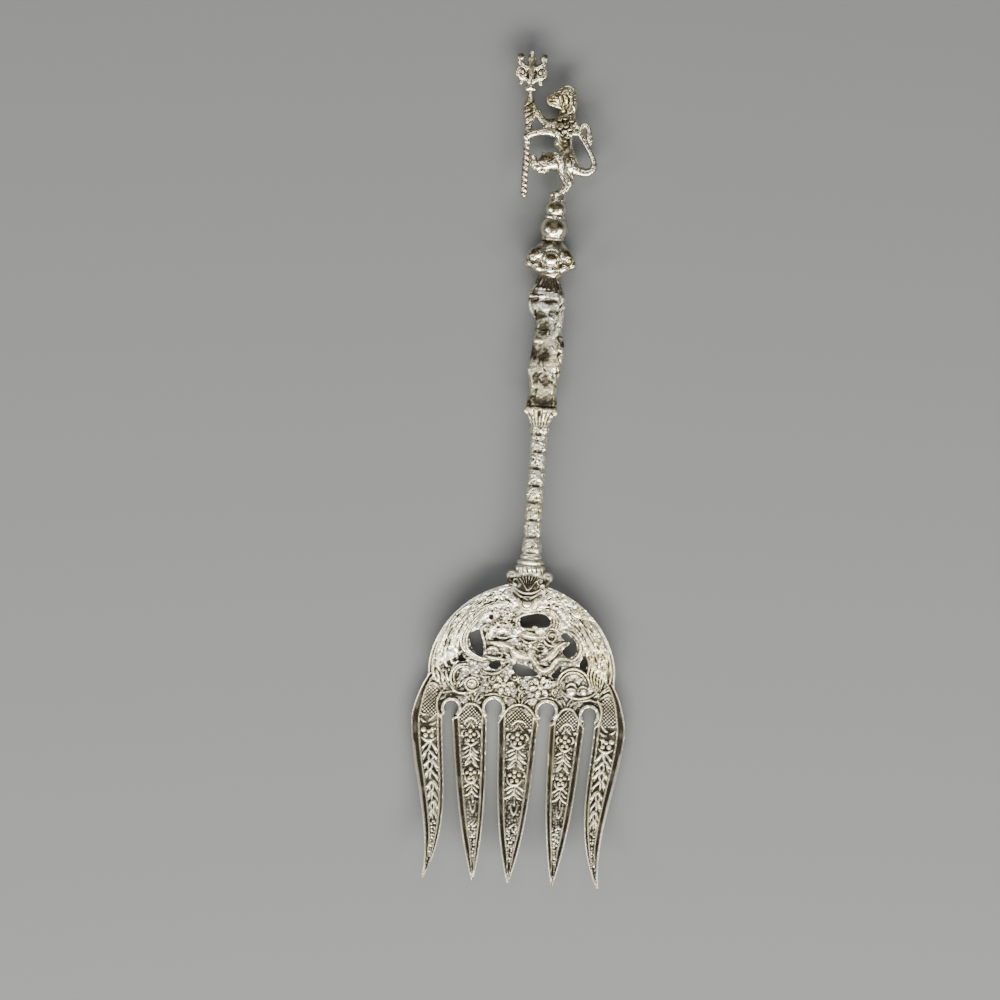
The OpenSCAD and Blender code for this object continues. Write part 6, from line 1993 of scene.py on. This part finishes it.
@dataclass
class Staff(Casting):
    """Twisted staff with a bud and a crown of scrolls."""

    name: str = "staff_and_crown"
    voxel: float = 0.14
    lump: float = 0.1
    dull: float = 0.16
    swell: float = 0.08
    x: float = -9.15
    foot: float = 203.0

    def shapes(self, bm: bmesh.types.BMesh) -> None:
        """Two twisted strands, the bud, the post and the scrolls."""
        for start in (0, 180):
            path = []
            for i in range(64):
                y = self.foot + 0.5 + 18.2 * i / 63
                a = math.radians(start + 360 * (y - self.foot) / 3.2)
                path.append((self.x + 0.42 * math.cos(a), y, 0.42 * math.sin(a) + 0.3, 0.62, 0.62))
            self.limb(bm, path[::2], sides=12)
        x = self.x
        self.limb(bm, [(x, 219.5, 0.3, 0.9, 0.9), (x, 222.0, 0.2, 0.9, 0.9), (x + 0.1, 224.4, 0, 1.1, 1.2),
                       (x + 0.2, 227.2, 0, 1.7, 1.6), (x + 0.2, 229.6, 0, 1.95, 1.7), (x + 0.1, 231.6, 0, 1.45, 1.5),
                       (x, 234.2, 0, 0.8, 0.9)])
        self.limb(bm, [(x, 233.8, 0, 0.8, 0.9), (x, 236.0, 0, 0.85, 1.0), (x - 0.1, 239.0, 0, 0.95, 1.0),
                       (x - 0.1, 242.0, 0, 1.15, 1.1), (x - 0.1, 244.6, 0, 1.2, 1.1), (x - 0.1, 246.0, 0, 0.9, 0.9)])
        self.limb(bm, [(x - 1.1, 235.1, 0, 0.6, 0.9), (x, 235.5, 0, 0.7, 1.3), (x + 1.1, 235.1, 0, 0.6, 0.9)])
        for side in (-1, 1):
            scroll = [(x + side * p[0], p[1]) for p in (
                (0.6, 237.4), (1.8, 238.3), (3.2, 238.6), (4.1, 239.6), (3.9, 240.9), (2.9, 241.5), (2.2, 240.8),
                (2.5, 240.1))]
            self.limb(bm, [(p[0], p[1], 0, 0.8, 1.1) for p in scroll])
            self.ball(bm, x + side * 2.7, 239.8, 0.1, (1.7, 1.6, 1.3))
            self.limb(bm, [(x + side * 0.8, 241.2, 0, 0.7, 0.9), (x + side * 2.3, 241.9, 0, 0.8, 0.9),
                           (x + side * 3.4, 242.7, 0, 0.85, 0.95), (x + side * 3.5, 243.9, 0, 0.9, 1.0)])
            self.ball(bm, x + side * 3.5, 244.5, 0, (1.3, 1.35, 1.3))
            self.ball(bm, x + side * 2.95, 236.9, 0, (0.75, 0.8, 0.85))
            self.limb(bm, [(x + side * 2.9, 237.2, 0, 0.5, 0.7), (x + side * 2.8, 238.4, 0, 0.6, 0.7)])

    def chase(self, front: Relief) -> None:
        """Scales of the bud and eyes of the scrolls."""
        for k, (dx, dy, rise) in enumerate(((0, 0.0, 0.3), (0.3, 2.1, 0.42), (-0.2, 3.7, 0.3), (0.2, 5.6, 0.4))):
            y = 224.2 + dy
            front.stroke([(self.x - 1.6 + dx, y), (self.x + 0.1, y + 0.7 + 0.2 * (k % 2)), (self.x + 1.9 + dx, y + 2.2)],
                         0.34, rise, join=Join.CARVE)
        front.stroke([(self.x + 0.9, 225.4), (self.x + 1.3, 228.2), (self.x + 0.8, 231.4)], 0.3, 0.3, join=Join.CARVE)
        front.stroke([(self.x - 0.9, 227.6), (self.x - 0.7, 230.4), (self.x - 0.2, 232.8)], 0.3, 0.3, join=Join.ADD)
        for side in (-1, 1):
            front.stroke(spiral(self.x + side * 2.8, 240.0, 1.5, 0.4, 90 - side * 120, 90 + side * 330, 16), 0.28, 0.5,
                         join=Join.CARVE)
            front.stroke([(self.x + side * 0.8, 238.0), (self.x + side * 1.3, 239.6), (self.x + side * 0.9, 241.2)],
                         0.3, 0.4, join=Join.CARVE)

    def paint_shade_and_tarnish(self, shade_and_tarnish: Relief) -> None:
        """Darker bud, post and scroll ends: painted shade with some tarnish."""
        self.patches(shade_and_tarnish, (
            (self.x, 229.4, 5.4, 0.42, 90, 0.6), (self.x, 242.8, 4.8, 0.38, 90, 0.6),
            (self.x, 212.0, 9.0, 0.2, 90, 0.3), (self.x - 3.2, 240.9, 1.3, 0.8, 0, 0.4),
            (self.x + 3.2, 240.9, 1.3, 0.8, 0, 0.4), (self.x - 3.5, 245.0, 1.3, 0.8, 0, 0.7),
            (self.x + 3.5, 245.0, 1.3, 0.8, 0, 0.7),
        ))


@dataclass
class Studio:
    """Camera, table and lights."""

    distance: float = 1.5
    centre: Point = (-9.92, 112.745)
    roll: float = 3.9
    sensor: float = 36.0
    table: tuple[float, ...] = (0.135, 0.141, 0.145, 1)
    room: tuple[float, ...] = (0.5, 0.5, 0.5, 1)
    room_strength: float = 0.19

    def camera(self) -> None:
        """Look straight down, turned a little about the line of sight."""
        data = bpy.data.cameras.new("camera")
        data.sensor_fit = "HORIZONTAL"
        data.sensor_width = self.sensor
        width = IMAGE_PX * MM_PER_PX * MM
        aim = PLACE.point(*self.centre, 6.0)
        data.lens = self.sensor * self.distance / width
        obj = bpy.data.objects.new("camera", data)
        obj.location = aim + Vector((0, 0, self.distance))
        obj.rotation_euler = (0, 0, math.radians(self.roll))
        bpy.context.scene.collection.objects.link(obj)
        bpy.context.scene.camera = obj

    def floor(self) -> None:
        """Pale matt table."""
        bm = bmesh.new()
        bmesh.ops.create_grid(bm, x_segments=1, y_segments=1, size=3.0)
        mesh = bpy.data.meshes.new("table")
        bm.to_mesh(mesh)
        bm.free()
        obj = bpy.data.objects.new("table", mesh)
        bpy.context.scene.collection.objects.link(obj)
        mat = bpy.data.materials.new("table_paper")
        mat.use_nodes = True
        skin = mat.node_tree.nodes["Principled BSDF"]
        skin.inputs["Base Color"].default_value = self.table
        skin.inputs["Roughness"].default_value = 0.9
        mesh.materials.append(mat)

    def light(self, name: str, at: Point3, size: Point, power: float, tint: tuple[float, float, float]) -> None:
        """A soft light that faces the fork.

        Args:
            name: Its name.
            at: Its place in metres.
            size: Its two sides in metres.
            power: Its power in watts.
            tint: Its colour.
        """
        data = bpy.data.lights.new(name, "AREA")
        data.shape = "RECTANGLE"
        data.size, data.size_y = size
        data.energy = power
        data.color = tint
        obj = bpy.data.objects.new(name, data)
        obj.location = at
        obj.rotation_euler = (-Vector(at)).to_track_quat("-Z", "Y").to_euler()
        bpy.context.scene.collection.objects.link(obj)

    def build(self) -> None:
        """Set up the whole studio."""
        self.camera()
        self.floor()
        self.light("key", (0.08, -0.8, 0.62), (1.3, 0.4), 36.0, (1.0, 0.965, 0.885))
        self.light("left", (-0.85, -0.2, 0.6), (0.4, 0.4), 5.0, (1.0, 0.99, 0.96))
        self.light("right", (0.8, -0.3, 0.6), (0.4, 0.4), 4.0, (1.0, 0.99, 0.96))
        self.light("top", (0.1, -0.5, 1.2), (0.4, 0.4), 2.5, (1.0, 0.98, 0.93))
        self.light("back", (-0.1, 0.62, 1.05), (1.1, 0.4), 6.0, (1.0, 0.99, 0.96))
        world = bpy.data.worlds.new("room")
        world.use_nodes = True
        sky = world.node_tree.nodes["Background"]
        sky.inputs["Color"].default_value = self.room
        sky.inputs["Strength"].default_value = self.room_strength
        bpy.context.scene.world = world


def main() -> None:
    """Build every piece in order."""
    shop = Workshop()
    shop.open()
    Head(shop).build()
    for part in (Neck(shop), Stem(shop), Figure(shop), Knop(shop), Lion(shop), Staff(shop)):
        part.build()
    Studio().build()


if __name__ == "__main__":
    main()
